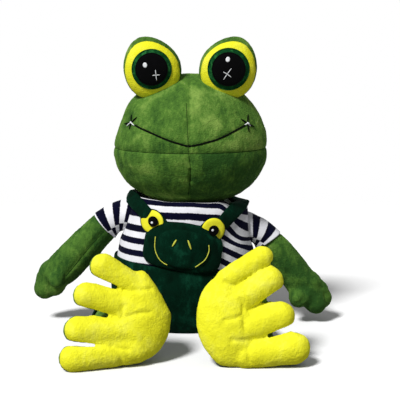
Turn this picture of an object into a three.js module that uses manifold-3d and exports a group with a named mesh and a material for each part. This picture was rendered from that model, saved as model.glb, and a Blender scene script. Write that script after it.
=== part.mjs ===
// Plush frog sitting in a striped shirt and bib overalls, made as the sewn pieces of the real one.
// Millimetres, +Z up, facing -Y. The origin is the middle of the seat, on the surface that it sits on.
// Left and right are the frog's own, so left is +X.

import * as THREE from 'three';
import { mergeVertices } from 'three/addons/utils/BufferGeometryUtils.js';
import Module from 'manifold-3d';

const wasm = await Module();
wasm.setup();

const rad = THREE.MathUtils.degToRad;
const lerp = THREE.MathUtils.lerp;
const quarterTurn = Math.PI / 2;
const sides = { left: 1, right: -1 };

// Cloth and fit
const clearance = 0.35; // between two pieces that touch
const jointClearance = 0.3; // around a limb's rounded end in its seat
const plush = 3; // green and yellow plush, pile and backing together
const jersey = 1.6; // shirt cloth
const velour = 2.4; // overalls cloth
const felt = 1; // eye and bib patches
const seam = 0.3; // gap between two panels that are sewn edge to edge
const overrun = 6; // how far a cutter runs past what it cuts
const floorFlat = 0.5; // how deep a foot is pressed flat where it stands

// Torso, upright in a frame of its own that leans to the frog's left
const torsoHeight = 142;
const torsoHalfWidth = 72;
const torsoHalfDepth = 57;
const torsoLean = rad(5);
const torsoShift = -3.5;
const pelletRadius = 36;
const pelletHeight = 16;

// Shirt and overalls
const waistHeight = 70;
const hemHeight = 52; // the shirt ends here, tucked in behind the overalls
const bibHalfWidth = 37;
const bibHeight = 48;
const bibMiddle = 93;
const bibShift = -4.5;
const bibRoll = rad(-4.5);
const bibPadding = 4.5;
const bibEyeRadius = 12.5;
const bibEyeSpread = 31;
const bibEyeRise = 20;
const bibPupilRadius = 5.2;
const muzzleHalfWidth = 27;
const muzzleHeight = 39;
const muzzlePadding = 4;
const strapWidth = 14;
const strapThick = 2.6;

// Head, upright above the neck; its two skins meet at a belt seam around the widest level
const neckHeight = 127; // up the torso
const neckRadius = 18;
const neckStemRadius = 14;
const neckStemHeight = 22;
const beltRise = 60.5; // from the neck to the belt seam
const headHalfWidth = 78.4;
const headHalfDepth = 64;
const crownHeight = 76;
const chinHeight = 58;
const headGap = 6; // left under the head for nodding
const dishHalfDepth = 68; // half depth of the hollow that the turning head needs in the shoulders

// Eye pods on top of the head
const podHalfWidth = 28.5;
const podHalfDepth = 17;
const podUp = 33;
const podDown = 30;
const podSpread = 38.5;
const podRise = 81.5; // above the belt seam
const podForward = 20;
const podLean = rad(13);
const podSeamBack = 3; // the yellow front ends this far in front of the pod's middle
const irisRadius = 21;
const pupilRadius = 17.5;

// Arms, each in a frame at its shoulder seam: x leaves the torso square to its side, z runs up the side
const shoulderHeight = 112;
const shoulderOut = 62;
const shoulderTilt = rad(12);
const armLength = 130;
const armHalfHeight = 17.5;
const armHalfDepth = 15.5;
const armFirstSlopes = { left: rad(18), right: rad(13) }; // below the torso's level at the shoulder
const armLastSlopes = { left: rad(46.5), right: rad(51) };
const armBendShare = 0.35; // the arm has bent this far along
const cuffDistance = 27;
const armHoleRadius = 9; // opening that the arm is stuffed through
const armSlack = 1.4; // around the sleeve where it meets the shirt
const seatFlare = 1.7; // the arm's seat widens to this share of its radius, as the sleeve dips there
const fingerRadius = 9.8;
const fingerReach = 27; // how far the longest finger stands out of the palm
const palmShare = 0.55; // of that reach is past the palm's round end

// Legs, each in a frame at its hip: the leg runs forward along -Y
const hipOut = 56;
const hipForward = 46;
const hipHeight = 22;
const legRadius = 16.8; // of the plush leg
const trouserLegLength = 44;
const ankleOut = 62;
const ankleForward = 130;
const ankleHeight = 27;
const ankleRadius = 16;
const legBow = 12; // how far the leg bows outward between hip and ankle
const turningHole = 7; // half width of the opening that a limb is stuffed through

// Feet, each in a frame at its ankle: x runs from heel to toes, away from the other foot
const footHalfDepth = 16;
const footForward = 22.5; // from the ankle to the seam around the foot
const palmInward = 19.5;
const palmHalfWidth = 27.5;
const palmHalfHeight = 41.5;
const toeRadius = 12;
const footTilt = rad(16); // the soles look up by this much
const footTurns = { left: rad(0), right: rad(-15) };
const footRolls = { left: rad(-11), right: rad(0) };

// What lies over what on the torso, measured out from the torso's skin
const shirtIn = clearance;
const shirtOut = shirtIn + jersey;
const overallsIn = shirtOut + clearance;
const overallsOut = overallsIn + velour;
const strapOut = overallsIn + strapThick;
const bibOut = overallsIn + bibPadding;
const bibPatchIn = bibOut + clearance;
const bibPatchOut = bibPatchIn + felt;
const fill = plush + clearance;

// Outlines and tables, as shares of the sizes above
const torsoOutlineShares = [
  [0, -0.03], [0.45, -0.022], [0.78, 0.02], [0.93, 0.1], [1, 0.25], [0.99, 0.42], [0.955, 0.6],
  [0.915, 0.75], [0.885, 0.86], [0.83, 0.93], [0.72, 0.975], [0.45, 1], [0, 1.01],
];
const armThicknessShares = [[0, 1], [0.08, 0.86], [0.2, 0.83], [0.45, 0.97], [0.7, 1.03], [1, 1]];
const fingerShares = [ // across, forward, length and turn of each finger
  { across: -0.5, forward: 0.55, reach: 0.5, splay: -0.08 },
  { across: -0.08, forward: 0.1, reach: 1, splay: 0 },
  { across: 0.42, forward: -0.4, reach: 0.92, splay: 0.08 },
];
const toeShares = [ // root and tip of each toe, as shares of the palm's half width and half height
  { root: [0.09, 0.77], tip: [1.55, 1.16], girth: 0.94 },
  { root: [0.38, 0.19], tip: [1.82, 0.52], girth: 1.02 },
  { root: [0.56, -0.33], tip: [2.08, -0.22], girth: 1 },
  { root: [0.64, -0.84], tip: [2.22, -0.92], girth: 1.03 },
];

// The part of a bib eye that shows yellow, as shares of the eye's place on the bib
const bibLidShares = [[0.4, 0.75], [1.45, 0.1], [1.6, 2], [0.4, 2]];
const strapShoulderShare = 0.8; // of the torso's half width
const strapBackShare = 0.6; // of the bib's half width

// How finely each kind of form is faceted: points around it, and steps along it
const fine = { around: 18, steps: 11 };
const fineHead = { around: 22, steps: 12 };
const medium = { around: 12, steps: 8 };
const coarse = { around: 8, steps: 6 };
const fineLimb = { around: 10, steps: 5 };
const coarseLimb = { around: 7, steps: 4 };
const fineFoot = { around: 10, steps: 7 };
const coarseFoot = { around: 7, steps: 5 };
const ballDetail = 16;

// Materials
function cloth(color, roughness) {
  return () => new THREE.MeshStandardMaterial({ color, roughness, metalness: 0 });
}
const materials = {
  greenPlush: cloth('#4f8433', 0.95),
  yellowPlush: cloth('#f2ee3a', 0.95),
  greenVelour: cloth('#0c4030', 0.9),
  stripedJersey: cloth('#e8e8ec', 0.9),
  yellowFelt: cloth('#efe93c', 0.9),
  irisFelt: cloth('#16532a', 0.7),
  blackFelt: cloth('#0b0b0d', 0.6),
  fibre: cloth('#f3f1ea', 1),
  pellets: cloth('#d9d4c4', 0.8),
};

// Solids from geometry, and back

function toSolid(geometry) {
  const positions = geometry.getAttribute('position').array;
  return new wasm.Manifold(new wasm.Mesh({
    numProp: 3,
    vertProperties: new Float32Array(positions),
    triVerts: new Uint32Array(geometry.index.array),
  }));
}

function toGeometry(solid) {
  const { vertProperties, triVerts } = solid.getMesh();
  const geometry = new THREE.BufferGeometry();
  geometry.setAttribute('position', new THREE.BufferAttribute(vertProperties, 3));
  geometry.setIndex(new THREE.BufferAttribute(triVerts, 1));
  geometry.computeVertexNormals();
  return geometry;
}

function welded(geometry) {
  geometry.deleteAttribute('normal');
  geometry.deleteAttribute('uv');
  return mergeVertices(geometry);
}

// Moves every point of a closed form out along its normal, or in where the distance is negative
function swollen(geometry, distance) {
  geometry.computeVertexNormals();
  const position = geometry.getAttribute('position');
  const normal = geometry.getAttribute('normal');
  for (let i = 0; i < position.count; i += 1) {
    position.setXYZ(
      i,
      position.getX(i) + distance * normal.getX(i),
      position.getY(i) + distance * normal.getY(i),
      position.getZ(i) + distance * normal.getZ(i),
    );
  }
  return geometry;
}

function moved(geometry, matrix) {
  return toSolid(geometry).transform(matrix.elements);
}

// Carries a solid from one frame into another
function carried(solid, from, to) {
  const matrix = to.matrixWorld.clone().invert().multiply(from.matrixWorld);
  return solid.transform(matrix.elements);
}

function joined(solids) {
  return solids.reduce((sum, solid) => sum.add(solid));
}

// A round form about the Z axis, squashed from front to back
function turnedForm(outline, depthShare, detail, offset) {
  const geometry = new THREE.LatheGeometry(outline, detail.around);
  geometry.rotateX(quarterTurn);
  geometry.scale(1, depthShare, 1);
  return swollen(welded(geometry), offset);
}

// Half an egg's outline from its lowest point to its highest; a fullness of 2 is an ellipse
function eggOutline({ halfWidth, down, up, fullnessDown, fullnessUp }, steps) {
  const points = [];
  for (let i = 0; i <= steps; i += 1) {
    const angle = lerp(-quarterTurn, quarterTurn, i / steps);
    const power = 2 / (angle < 0 ? fullnessDown : fullnessUp);
    const reach = angle < 0 ? -down : up;
    const onAxis = i === 0 || i === steps;
    points.push(new THREE.Vector2(
      onAxis ? 0 : halfWidth * Math.cos(angle) ** power,
      reach * Math.abs(Math.sin(angle)) ** power,
    ));
  }
  return points;
}

// A stuffed tube: rings of an ellipse set along a route, with a point closing each end
function tubeForm(rings, around, offset) {
  const points = [];
  for (const { centre, across, up, half } of rings) {
    for (let i = 0; i < around; i += 1) {
      const angle = (i / around) * 2 * Math.PI;
      points.push(centre.clone()
        .addScaledVector(across, half[0] * Math.cos(angle))
        .addScaledVector(up, half[1] * Math.sin(angle)));
    }
  }
  const first = points.push(rings[0].pole) - 1;
  const last = points.push(rings.at(-1).pole) - 1;
  const index = [];
  for (let i = 0; i < around; i += 1) {
    const next = (i + 1) % around;
    index.push(first, next, i);
    for (let ring = 1; ring < rings.length; ring += 1) {
      const low = (ring - 1) * around;
      const high = ring * around;
      index.push(low + i, low + next, high + next);
      index.push(low + i, high + next, high + i);
    }
    const end = (rings.length - 1) * around;
    index.push(last, end + i, end + next);
  }
  const geometry = new THREE.BufferGeometry().setFromPoints(points);
  geometry.setIndex(index);
  return swollen(geometry, offset);
}

// Distances along a stuffed tube at which it has rings, closer where an end is round
function ringDistances({ start, end, roundStart, roundEnd }, steps) {
  const distances = [];
  const capSteps = Math.max(2, Math.round(steps / 3));
  for (let i = 1; i <= capSteps && roundStart > 0; i += 1) {
    distances.push(start + roundStart * (1 - Math.cos((i / capSteps) * quarterTurn)));
  }
  const from = start + roundStart;
  const to = end - roundEnd;
  const firstStep = roundStart > 0 ? 1 : 0;
  for (let i = firstStep; i <= steps; i += 1) {
    distances.push(lerp(from, to, i / steps));
  }
  for (let i = 1; i < capSteps && roundEnd > 0; i += 1) {
    distances.push(to + roundEnd * Math.sin((i / capSteps) * quarterTurn));
  }
  return distances;
}

// How much of its full thickness a tube has at a distance, where its ends are round
function roundness(distance, { start, end, roundStart, roundEnd }) {
  let depth = 0;
  if (distance < start + roundStart) {
    depth = (start + roundStart - distance) / roundStart;
  } else if (distance > end - roundEnd) {
    depth = (distance - end + roundEnd) / roundEnd;
  }
  return Math.sqrt(Math.max(0, 1 - depth * depth));
}

// A straight stuffed tube with round ends, such as a toe or a finger
function lobeForm(from, to, radii, detail, offset) {
  const along = to.clone().sub(from).normalize();
  const across = new THREE.Vector3(0, 1, 0);
  const up = new THREE.Vector3().crossVectors(along, across).normalize();
  const length = from.distanceTo(to);
  const ends = { start: -radii[0], end: length + radii[1], roundStart: radii[0], roundEnd: radii[1] };
  const rings = ringDistances(ends, 1).map((distance) => {
    const share = THREE.MathUtils.clamp(distance / length, 0, 1);
    const radius = lerp(radii[0], radii[1], share) * roundness(distance, ends);
    return { centre: from.clone().addScaledVector(along, distance), across, up, half: [radius, radius] };
  });
  rings[0].pole = from.clone().addScaledVector(along, -radii[0]);
  rings.at(-1).pole = to.clone().addScaledVector(along, radii[1]);
  return toSolid(tubeForm(rings, detail.around, offset));
}

// A ball whose facets lie on or outside its radius
function ball(radius) {
  const grown = radius / Math.cos(Math.PI / ballDetail) ** 2;
  return toSolid(welded(new THREE.SphereGeometry(grown, ballDetail, ballDetail / 2)));
}

// A rod about the X, Y or Z axis, with a wider or narrower far end where one is given
function rod(radius, from, to, axis, farRadius = radius) {
  const geometry = new THREE.CylinderGeometry(farRadius, radius, to - from, ballDetail);
  geometry.translate(0, (from + to) / 2, 0);
  if (axis === 'x') {
    geometry.rotateZ(-quarterTurn);
  } else if (axis === 'z') {
    geometry.rotateX(quarterTurn);
  }
  return toSolid(welded(geometry));
}

// A block between two corners
function block(low, high) {
  const size = high.clone().sub(low);
  const middle = low.clone().add(high).divideScalar(2);
  const geometry = new THREE.BoxGeometry(size.x, size.y, size.z);
  geometry.translate(middle.x, middle.y, middle.z);
  return toSolid(welded(geometry));
}

// Everything on one side of a seam that lies square to an axis; side is 1 past the seam and -1 before it
function besideSeam(axis, place, side, reach) {
  const low = new THREE.Vector3().setScalar(-reach);
  const high = new THREE.Vector3().setScalar(reach);
  (side > 0 ? low : high)[axis] = place + side * seam / 2;
  return block(low, high);
}

// A flat outline in X and Z, made solid along Y
function cutOut(shape, from, to) {
  const geometry = new THREE.ExtrudeGeometry(shape, {
    depth: to - from, bevelEnabled: false, curveSegments: 6,
  });
  geometry.rotateX(quarterTurn);
  geometry.translate(0, to, 0);
  return toSolid(welded(geometry));
}

// Frames: the torso leans, the head stays upright, and each limb turns about its own seam

const frog = new THREE.Group();
const torsoFrame = new THREE.Group();
torsoFrame.position.set(torsoShift, 0, 0);
torsoFrame.rotation.y = torsoLean;
frog.add(torsoFrame);

const headFrame = new THREE.Group();
headFrame.position.set(
  torsoShift + neckHeight * Math.sin(torsoLean),
  0,
  neckHeight * Math.cos(torsoLean),
);
frog.add(headFrame);

function armFrameOn(side) {
  const frame = new THREE.Group();
  frame.position.set(side * shoulderOut, 0, shoulderHeight);
  frame.rotation.y = -side * shoulderTilt;
  torsoFrame.add(frame);
  return frame;
}

function legFrameOn(side) {
  const frame = new THREE.Group();
  frame.position.set(side * hipOut, -hipForward, hipHeight);
  frog.add(frame);
  return frame;
}

function footFrameOn(side, name) {
  const frame = new THREE.Group();
  frame.position.set(side * ankleOut, -ankleForward, ankleHeight);
  frame.rotation.set(-footTilt, footRolls[name], side * footTurns[name], 'XZY');
  frog.add(frame);
  return frame;
}

function framesOf(makeFrame) {
  return Object.fromEntries(Object.entries(sides).map(([name, side]) => [name, makeFrame(side, name)]));
}

const armFrames = framesOf(armFrameOn);
const legFrames = framesOf(legFrameOn);
const footFrames = framesOf(footFrameOn);
const podFrames = framesOf((side) => {
  const frame = new THREE.Group();
  frame.position.set(side * podSpread, -podForward, beltRise + podRise);
  frame.rotation.y = side * podLean;
  headFrame.add(frame);
  return frame;
});
frog.updateMatrixWorld(true);

function addPiece(frame, name, solid, material) {
  const mesh = new THREE.Mesh(toGeometry(solid), material());
  mesh.name = name;
  frame.add(mesh);
}

// Everything below a level above the floor, in a frame's own coordinates
function belowFloor(level, frame) {
  const reach = torsoHeight + crownHeight;
  const low = new THREE.Vector3(-reach, -reach, -reach);
  const high = new THREE.Vector3(reach, reach, level);
  return carried(block(low, high), frog, frame);
}

// Torso and what it wears

function headCore(offset, depth, detail) {
  const outline = eggOutline({
    halfWidth: headHalfWidth, down: chinHeight, up: crownHeight, fullnessDown: 2.2, fullnessUp: 2,
  }, detail.steps);
  const form = turnedForm(outline, depth / headHalfWidth, detail, offset);
  return moved(form, new THREE.Matrix4().makeTranslation(0, 0, beltRise));
}

// The hollow between the shoulders that the head swings in
function neckDish(offset) {
  const drop = headGap + strapOut - offset;
  const swing = headCore(0, dishHalfDepth, medium)
    .transform(new THREE.Matrix4().makeTranslation(0, 0, -drop).elements);
  return carried(swing, headFrame, torsoFrame);
}

function torsoForm(offset, detail) {
  const outline = torsoOutlineShares.map(([radius, height]) => (
    new THREE.Vector2(radius * torsoHalfWidth, height * torsoHeight)));
  const smooth = new THREE.SplineCurve(outline).getPoints(detail.steps);
  smooth.forEach((point, i) => {
    point.x = i === 0 || i === smooth.length - 1 ? 0 : Math.max(point.x, 0);
  });
  const body = toSolid(turnedForm(smooth, torsoHalfDepth / torsoHalfWidth, detail, offset));
  return body.subtract(neckDish(offset));
}

// Seats that the neck and the limbs leave in every layer of the torso
function limbSeats() {
  const seats = [];
  for (const name of Object.keys(sides)) {
    const seatRadius = armHalfHeight + shirtOut + armSlack;
    const flared = rod(seatRadius, -clearance, seatRadius, 'x', seatRadius * seatFlare);
    const flat = fromShoulder(name, flared.add(rod(seatRadius, 0, armLength, 'x')));
    seats.push(carried(flat, armFrames[name], torsoFrame));
    seats.push(carried(ball(hipRadius() + jointClearance), legFrames[name], torsoFrame));
  }
  seats.push(carried(ball(neckRadius + jointClearance), headFrame, torsoFrame));
  return joined(seats);
}

function hipRadius() {
  return legRadius + clearance + velour;
}

function neckOpening() {
  return carried(rod(neckRadius + jointClearance, -neckHeight / 2, neckHeight, 'z'), headFrame, torsoFrame);
}

function aboveHeight(height) {
  const reach = torsoHeight + crownHeight;
  return block(new THREE.Vector3(-reach, -reach, height), new THREE.Vector3(reach, reach, reach + height));
}

function buildTorso() {
  const seats = limbSeats();
  const floorLayer = overallsIn + velour;
  const outer = torsoForm(0, fine).subtract(belowFloor(floorLayer + clearance, torsoFrame));
  const inner = torsoForm(-plush, coarse).subtract(belowFloor(floorLayer + clearance + plush, torsoFrame));
  const skin = outer.subtract(inner).subtract(seats).subtract(neckOpening());
  addPiece(torsoFrame, 'torso_skin', skin, materials.greenPlush);

  const stuffingFloor = floorLayer + clearance + fill;
  const pocket = pelletForm(clearance, stuffingFloor);
  const stuffing = torsoForm(-fill, coarse)
    .subtract(belowFloor(stuffingFloor, torsoFrame)).subtract(seats).subtract(pocket);
  addPiece(torsoFrame, 'torso_stuffing', stuffing, materials.fibre);
  const bag = pelletForm(0, stuffingFloor);
  addPiece(torsoFrame, 'pellet_bag', bag, materials.pellets);
}

// The pellet bag, level on the skin of the seat, or the pocket for it where the offset is its clearance
function pelletForm(offset, floor) {
  const outline = eggOutline({
    halfWidth: pelletRadius, down: pelletHeight / 2, up: pelletHeight / 2, fullnessDown: 3, fullnessUp: 3,
  }, coarse.steps);
  const lift = floor + clearance + pelletHeight / 2;
  const place = new THREE.Matrix4().makeTranslation(0, 0, lift);
  const bag = moved(turnedForm(outline, 1, coarse, offset), place);
  if (offset === 0) {
    return carried(bag, frog, torsoFrame);
  }
  const mouth = rod(pelletRadius / 2, floor - overrun, floor + pelletHeight / 2, 'z');
  return carried(bag.add(mouth), frog, torsoFrame);
}

function buildClothes() {
  const seats = limbSeats();
  const opening = neckOpening();
  const shirt = torsoForm(shirtOut, fine).subtract(torsoForm(shirtIn, fine))
    .subtract(belowHeight(hemHeight)).subtract(seats).subtract(opening);
  addPiece(torsoFrame, 'shirt_body', shirt, materials.stripedJersey);

  const lining = torsoForm(overallsIn, fine).subtract(belowFloor(velour, torsoFrame));
  const trousers = torsoForm(overallsOut, fine).subtract(lining)
    .subtract(aboveHeight(waistHeight)).subtract(belowFloor(0, torsoFrame)).subtract(seats);
  addPiece(torsoFrame, 'overalls_trousers', trousers, materials.greenVelour);
}

function belowHeight(height) {
  const reach = torsoHeight + crownHeight;
  return block(new THREE.Vector3(-reach, -reach, height - reach), new THREE.Vector3(reach, reach, height));
}

// The bib and its patches, cut from layers that follow the chest

function onBib(solid) {
  const place = new THREE.Matrix4().makeRotationY(-bibRoll);
  place.setPosition(bibShift, 0, bibMiddle);
  return solid.transform(place.elements);
}

function roundedShape(halfWidth, halfHeight, fullness) {
  const shape = new THREE.Shape();
  const steps = 20;
  for (let i = 0; i < steps; i += 1) {
    const angle = (i / steps) * 2 * Math.PI;
    const x = halfWidth * Math.sign(Math.cos(angle)) * Math.abs(Math.cos(angle)) ** (2 / fullness);
    const z = halfHeight * Math.sign(Math.sin(angle)) * Math.abs(Math.sin(angle)) ** (2 / fullness);
    if (i === 0) {
      shape.moveTo(x, z);
    } else {
      shape.lineTo(x, z);
    }
  }
  shape.closePath();
  return shape;
}

function chestLayer(from, to) {
  return torsoForm(to, fine).subtract(torsoForm(from, fine));
}

function bibCut(shape) {
  return onBib(cutOut(shape, -torsoHalfDepth * 2, -torsoHalfDepth / 3));
}

function bibEyeDisc(side, radius) {
  const disc = rod(radius, -torsoHalfDepth * 2, -torsoHalfDepth / 3, 'y');
  const place = new THREE.Matrix4().makeTranslation(side * bibEyeSpread, 0, bibEyeRise);
  return onBib(disc.transform(place.elements));
}

function buildBib() {
  const panel = bibCut(roundedShape(bibHalfWidth, bibHeight / 2, 2.8));
  const outline = joined([panel, bibEyeDisc(1, bibEyeRadius), bibEyeDisc(-1, bibEyeRadius)]);
  const waist = belowHeight(waistHeight + clearance);
  const bib = chestLayer(overallsIn, bibOut).intersect(outline).subtract(waist);
  addPiece(torsoFrame, 'overalls_bib', largestOf(bib), materials.greenVelour);

  const muzzleShape = bibCut(roundedShape(muzzleHalfWidth, muzzleHeight / 2, 2.6));
  const muzzle = chestLayer(bibPatchIn, bibPatchIn + muzzlePadding).intersect(muzzleShape).subtract(waist);
  addPiece(torsoFrame, 'bib_muzzle', muzzle, materials.greenVelour);

  const patchLayer = chestLayer(bibPatchIn, bibPatchOut);
  const pupilLayer = chestLayer(bibPatchOut + clearance, bibPatchOut + clearance + felt);
  for (const [name, side] of Object.entries(sides)) {
    const lid = new THREE.Shape(bibLidShares.map(([across, up]) => (
      new THREE.Vector2(side * across * bibEyeSpread, up * bibEyeRise))));
    const moon = patchLayer.intersect(bibEyeDisc(side, bibEyeRadius - felt)).intersect(bibCut(lid))
      .subtract(muzzleShape);
    addPiece(torsoFrame, `bib_eye_${name}`, moon, materials.yellowFelt);
    addPiece(torsoFrame, `bib_pupil_${name}`, pupilLayer.intersect(bibEyeDisc(side, bibPupilRadius)),
      materials.blackFelt);
  }
}

// A strap: from behind the bib's corner over the shoulder, and down the back to the waist
function buildStraps() {
  const layer = chestLayer(overallsIn, strapOut);
  const waist = waistHeight + clearance;
  for (const [name, side] of Object.entries(sides)) {
    const shoulder = new THREE.Vector2(side * torsoHalfWidth * strapShoulderShare, torsoHeight);
    const corner = new THREE.Vector2(side * bibHalfWidth, bibMiddle + bibEyeRise);
    const backEnd = new THREE.Vector2(side * bibHalfWidth * strapBackShare, waist);
    const front = strapBand(corner, shoulder, -torsoHalfDepth * 2, 0);
    const back = strapBand(backEnd, shoulder, 0, torsoHalfDepth * 2);
    const strap = layer.intersect(front.add(back)).subtract(onBibOutline()).subtract(belowHeight(waist));
    addPiece(torsoFrame, `strap_${name}`, largestOf(strap), materials.greenVelour);
  }
}

function largestOf(solid) {
  return solid.decompose().reduce((best, piece) => (piece.volume() > best.volume() ? piece : best));
}

function onBibOutline() {
  const grown = bibCut(roundedShape(bibHalfWidth + clearance, bibHeight / 2 + clearance, 2.8));
  const eyes = Object.values(sides).map((side) => bibEyeDisc(side, bibEyeRadius + clearance));
  return joined([grown, ...eyes]);
}

function strapBand(start, end, from, to) {
  const run = end.clone().sub(start);
  const across = new THREE.Vector2(-run.y, run.x).normalize().multiplyScalar(strapWidth / 2);
  const shape = new THREE.Shape([
    start.clone().sub(across), end.clone().sub(across), end.clone().add(across), start.clone().add(across),
  ]);
  return cutOut(shape, from, to);
}

// Neck and head

function buildNeck() {
  const wad = toSolid(welded(new THREE.SphereGeometry(neckRadius, ballDetail, ballDetail / 2 + 1)))
    .rotate([0, 180 / ballDetail, 0])
    .subtract(headCore(clearance, headHalfDepth, fineHead))
    .add(rod(neckStemRadius, 0, neckStemHeight, 'z'));
  addPiece(headFrame, 'neck_plug', wad, materials.fibre);
}

function buildHead() {
  const holeRadius = (neckStemRadius + jointClearance) / Math.cos(Math.PI / ballDetail);
  const hole = rod(holeRadius, -neckStemHeight, neckStemHeight + jointClearance, 'z');
  const shell = headCore(0, headHalfDepth, fineHead).subtract(headCore(-plush, headHalfDepth, coarseHead()))
    .subtract(hole);
  const reach = headHalfWidth * 2;
  const upper = shell.intersect(besideSeam('z', beltRise, 1, reach));
  const lower = shell.intersect(besideSeam('z', beltRise, -1, reach));
  addPiece(headFrame, 'head_upper_skin', upper, materials.greenPlush);
  addPiece(headFrame, 'head_lower_skin', lower, materials.greenPlush);
  const stuffing = headCore(-fill, headHalfDepth, coarseHead()).subtract(hole);
  addPiece(headFrame, 'head_stuffing', stuffing, materials.fibre);
}

function coarseHead() {
  return { around: fineHead.around / 2, steps: fineHead.steps / 2 };
}

function podForm(offset, detail) {
  const outline = eggOutline({
    halfWidth: podHalfWidth, down: podDown, up: podUp, fullnessDown: 2.2, fullnessUp: 1.75,
  }, detail.steps);
  return toSolid(turnedForm(outline, podHalfDepth / podHalfWidth, detail, offset));
}

function buildPod(name) {
  const frame = podFrames[name];
  const head = carried(headCore(clearance, headHalfDepth, fineHead), headFrame, frame);
  const shell = podForm(0, medium).subtract(podForm(-plush, coarse)).subtract(head);
  const reach = podUp * 2;
  const front = shell.intersect(besideSeam('y', -podSeamBack, -1, reach));
  const back = shell.intersect(besideSeam('y', -podSeamBack, 1, reach));
  addPiece(frame, `eye_pod_${name}`, back, materials.greenPlush);
  addPiece(frame, `eye_front_${name}`, front, materials.yellowPlush);
  addPiece(frame, `eye_stuffing_${name}`, podForm(-fill, coarse).subtract(head), materials.fibre);
  const discs = [
    { part: 'iris', radius: irisRadius, from: clearance, material: materials.irisFelt },
    { part: 'pupil', radius: pupilRadius, from: 2 * clearance + felt, material: materials.blackFelt },
  ];
  for (const { part, radius, from, material } of discs) {
    const layer = podForm(from + felt, medium).subtract(podForm(from, medium));
    const disc = layer.intersect(rod(radius, -reach, -podHalfDepth / 4, 'y')).subtract(head);
    addPiece(frame, `eye_${part}_${name}`, disc, material);
  }
}

// Arms

// Thickness share at a share of a limb's length, read between the rows of a table
function shareAt(table, share) {
  for (let i = 1; i < table.length; i += 1) {
    if (share <= table[i][0]) {
      const step = (share - table[i - 1][0]) / (table[i][0] - table[i - 1][0]);
      return lerp(table[i - 1][1], table[i][1], step);
    }
  }
  return table.at(-1)[1];
}

function armSlope(name, distance) {
  const bend = THREE.MathUtils.clamp(distance / (armLength * armBendShare), 0, 1);
  return shoulderTilt + lerp(armFirstSlopes[name], armLastSlopes[name], Math.sin(bend * quarterTurn));
}

// The middle of the arm at a distance from its seam: it leaves the shoulder and bends down
function armPoint(name, distance) {
  const steps = 24;
  const point = new THREE.Vector3();
  for (let i = 0; i < steps; i += 1) {
    const slope = armSlope(name, ((i + 0.5) / steps) * Math.max(distance, 0));
    point.x += (Math.cos(slope) * distance) / steps;
    point.z -= (Math.sin(slope) * distance) / steps;
  }
  point.x *= sides[name];
  return point;
}

function armRing(name, distance, thickness) {
  const settle = THREE.MathUtils.clamp(distance / cuffDistance, 0, 1);
  const slope = armSlope(name, distance) * settle;
  const along = new THREE.Vector3(sides[name] * Math.cos(slope), 0, -Math.sin(slope));
  const across = new THREE.Vector3(0, 1, 0);
  const up = new THREE.Vector3().crossVectors(along, across);
  const half = [armHalfDepth * thickness, armHalfHeight * thickness];
  return { centre: armPoint(name, distance), across, up, half };
}

// The arm from its seam to the end of the palm
function armTube(name, detail, offset) {
  const end = armLength - fingerReach * palmShare;
  const ends = { start: 0, end, roundStart: 0, roundEnd: armHalfHeight };
  const rings = ringDistances(ends, detail.steps).map((distance) => {
    const thickness = shareAt(armThicknessShares, distance / armLength) * roundness(distance, ends);
    return armRing(name, distance, thickness);
  });
  rings[0].pole = rings[0].centre.clone();
  rings.at(-1).pole = armPoint(name, end);
  return toSolid(tubeForm(rings, detail.around, offset));
}

function armForm(name, detail, offset) {
  const side = sides[name];
  const palm = armTube(name, detail, offset);
  const wrist = armPoint(name, armLength - fingerReach - fingerRadius);
  const slope = armSlope(name, armLength);
  const upward = new THREE.Vector3(side * Math.sin(slope), 0, Math.cos(slope));
  const fingers = fingerShares.map(({ across, forward, reach, splay }) => {
    const along = new THREE.Vector3(side * Math.cos(slope - splay), 0, -Math.sin(slope - splay));
    const root = wrist.clone().addScaledVector(upward, across * armHalfHeight);
    root.y -= forward * armHalfDepth;
    const tip = root.clone().addScaledVector(along, fingerReach * reach);
    return lobeForm(root, tip, [fingerRadius, fingerRadius], detail, offset);
  });
  return joined([palm, ...fingers]).subtract(behindShoulder(name, -offset));
}

// Everything on the torso's side of a level out from the shoulder seam
function behindShoulder(name, level) {
  return fromShoulder(name, rod(armHalfHeight * 2, level - armHalfHeight, level, 'x'));
}

// Something straight out of the shoulder seam, turned to the frog's own side
function fromShoulder(name, solid) {
  return sides[name] > 0 ? solid : solid.rotate([0, 180, 0]);
}

// Everything past the end of the sleeve
function pastCuff(name) {
  const beyond = fromShoulder(name, rod(armLength, 0, armLength * 2, 'x'));
  const turn = new THREE.Matrix4().makeRotationY(sides[name] * armSlope(name, cuffDistance));
  return beyond.transform(turn.setPosition(armPoint(name, cuffDistance)).elements);
}

function buildArm(name) {
  const frame = armFrames[name];
  const hole = fromShoulder(name, rod(armHoleRadius, -overrun, 2 * plush, 'x'));
  const skin = armForm(name, fineLimb, 0).subtract(armForm(name, coarseLimb, -plush)).subtract(hole);
  addPiece(frame, `arm_skin_${name}`, skin, materials.greenPlush);
  const neck = fromShoulder(name, rod(armHoleRadius - clearance, 0, 2 * plush, 'x'));
  addPiece(frame, `arm_stuffing_${name}`, armForm(name, coarseLimb, -fill).add(neck), materials.fibre);
  const sleeve = armTube(name, fineLimb, shirtOut).subtract(armTube(name, fineLimb, shirtIn))
    .subtract(behindShoulder(name, clearance)).subtract(pastCuff(name));
  addPiece(frame, `sleeve_${name}`, sleeve, materials.stripedJersey);
}

// Legs

function legPoint(side, name, share) {
  const hip = legFrames[name].position;
  const ankle = footFrames[name].position;
  const point = ankle.clone().sub(hip).multiplyScalar(share);
  point.x += side * legBow * Math.sin(share * Math.PI);
  return point;
}

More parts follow.
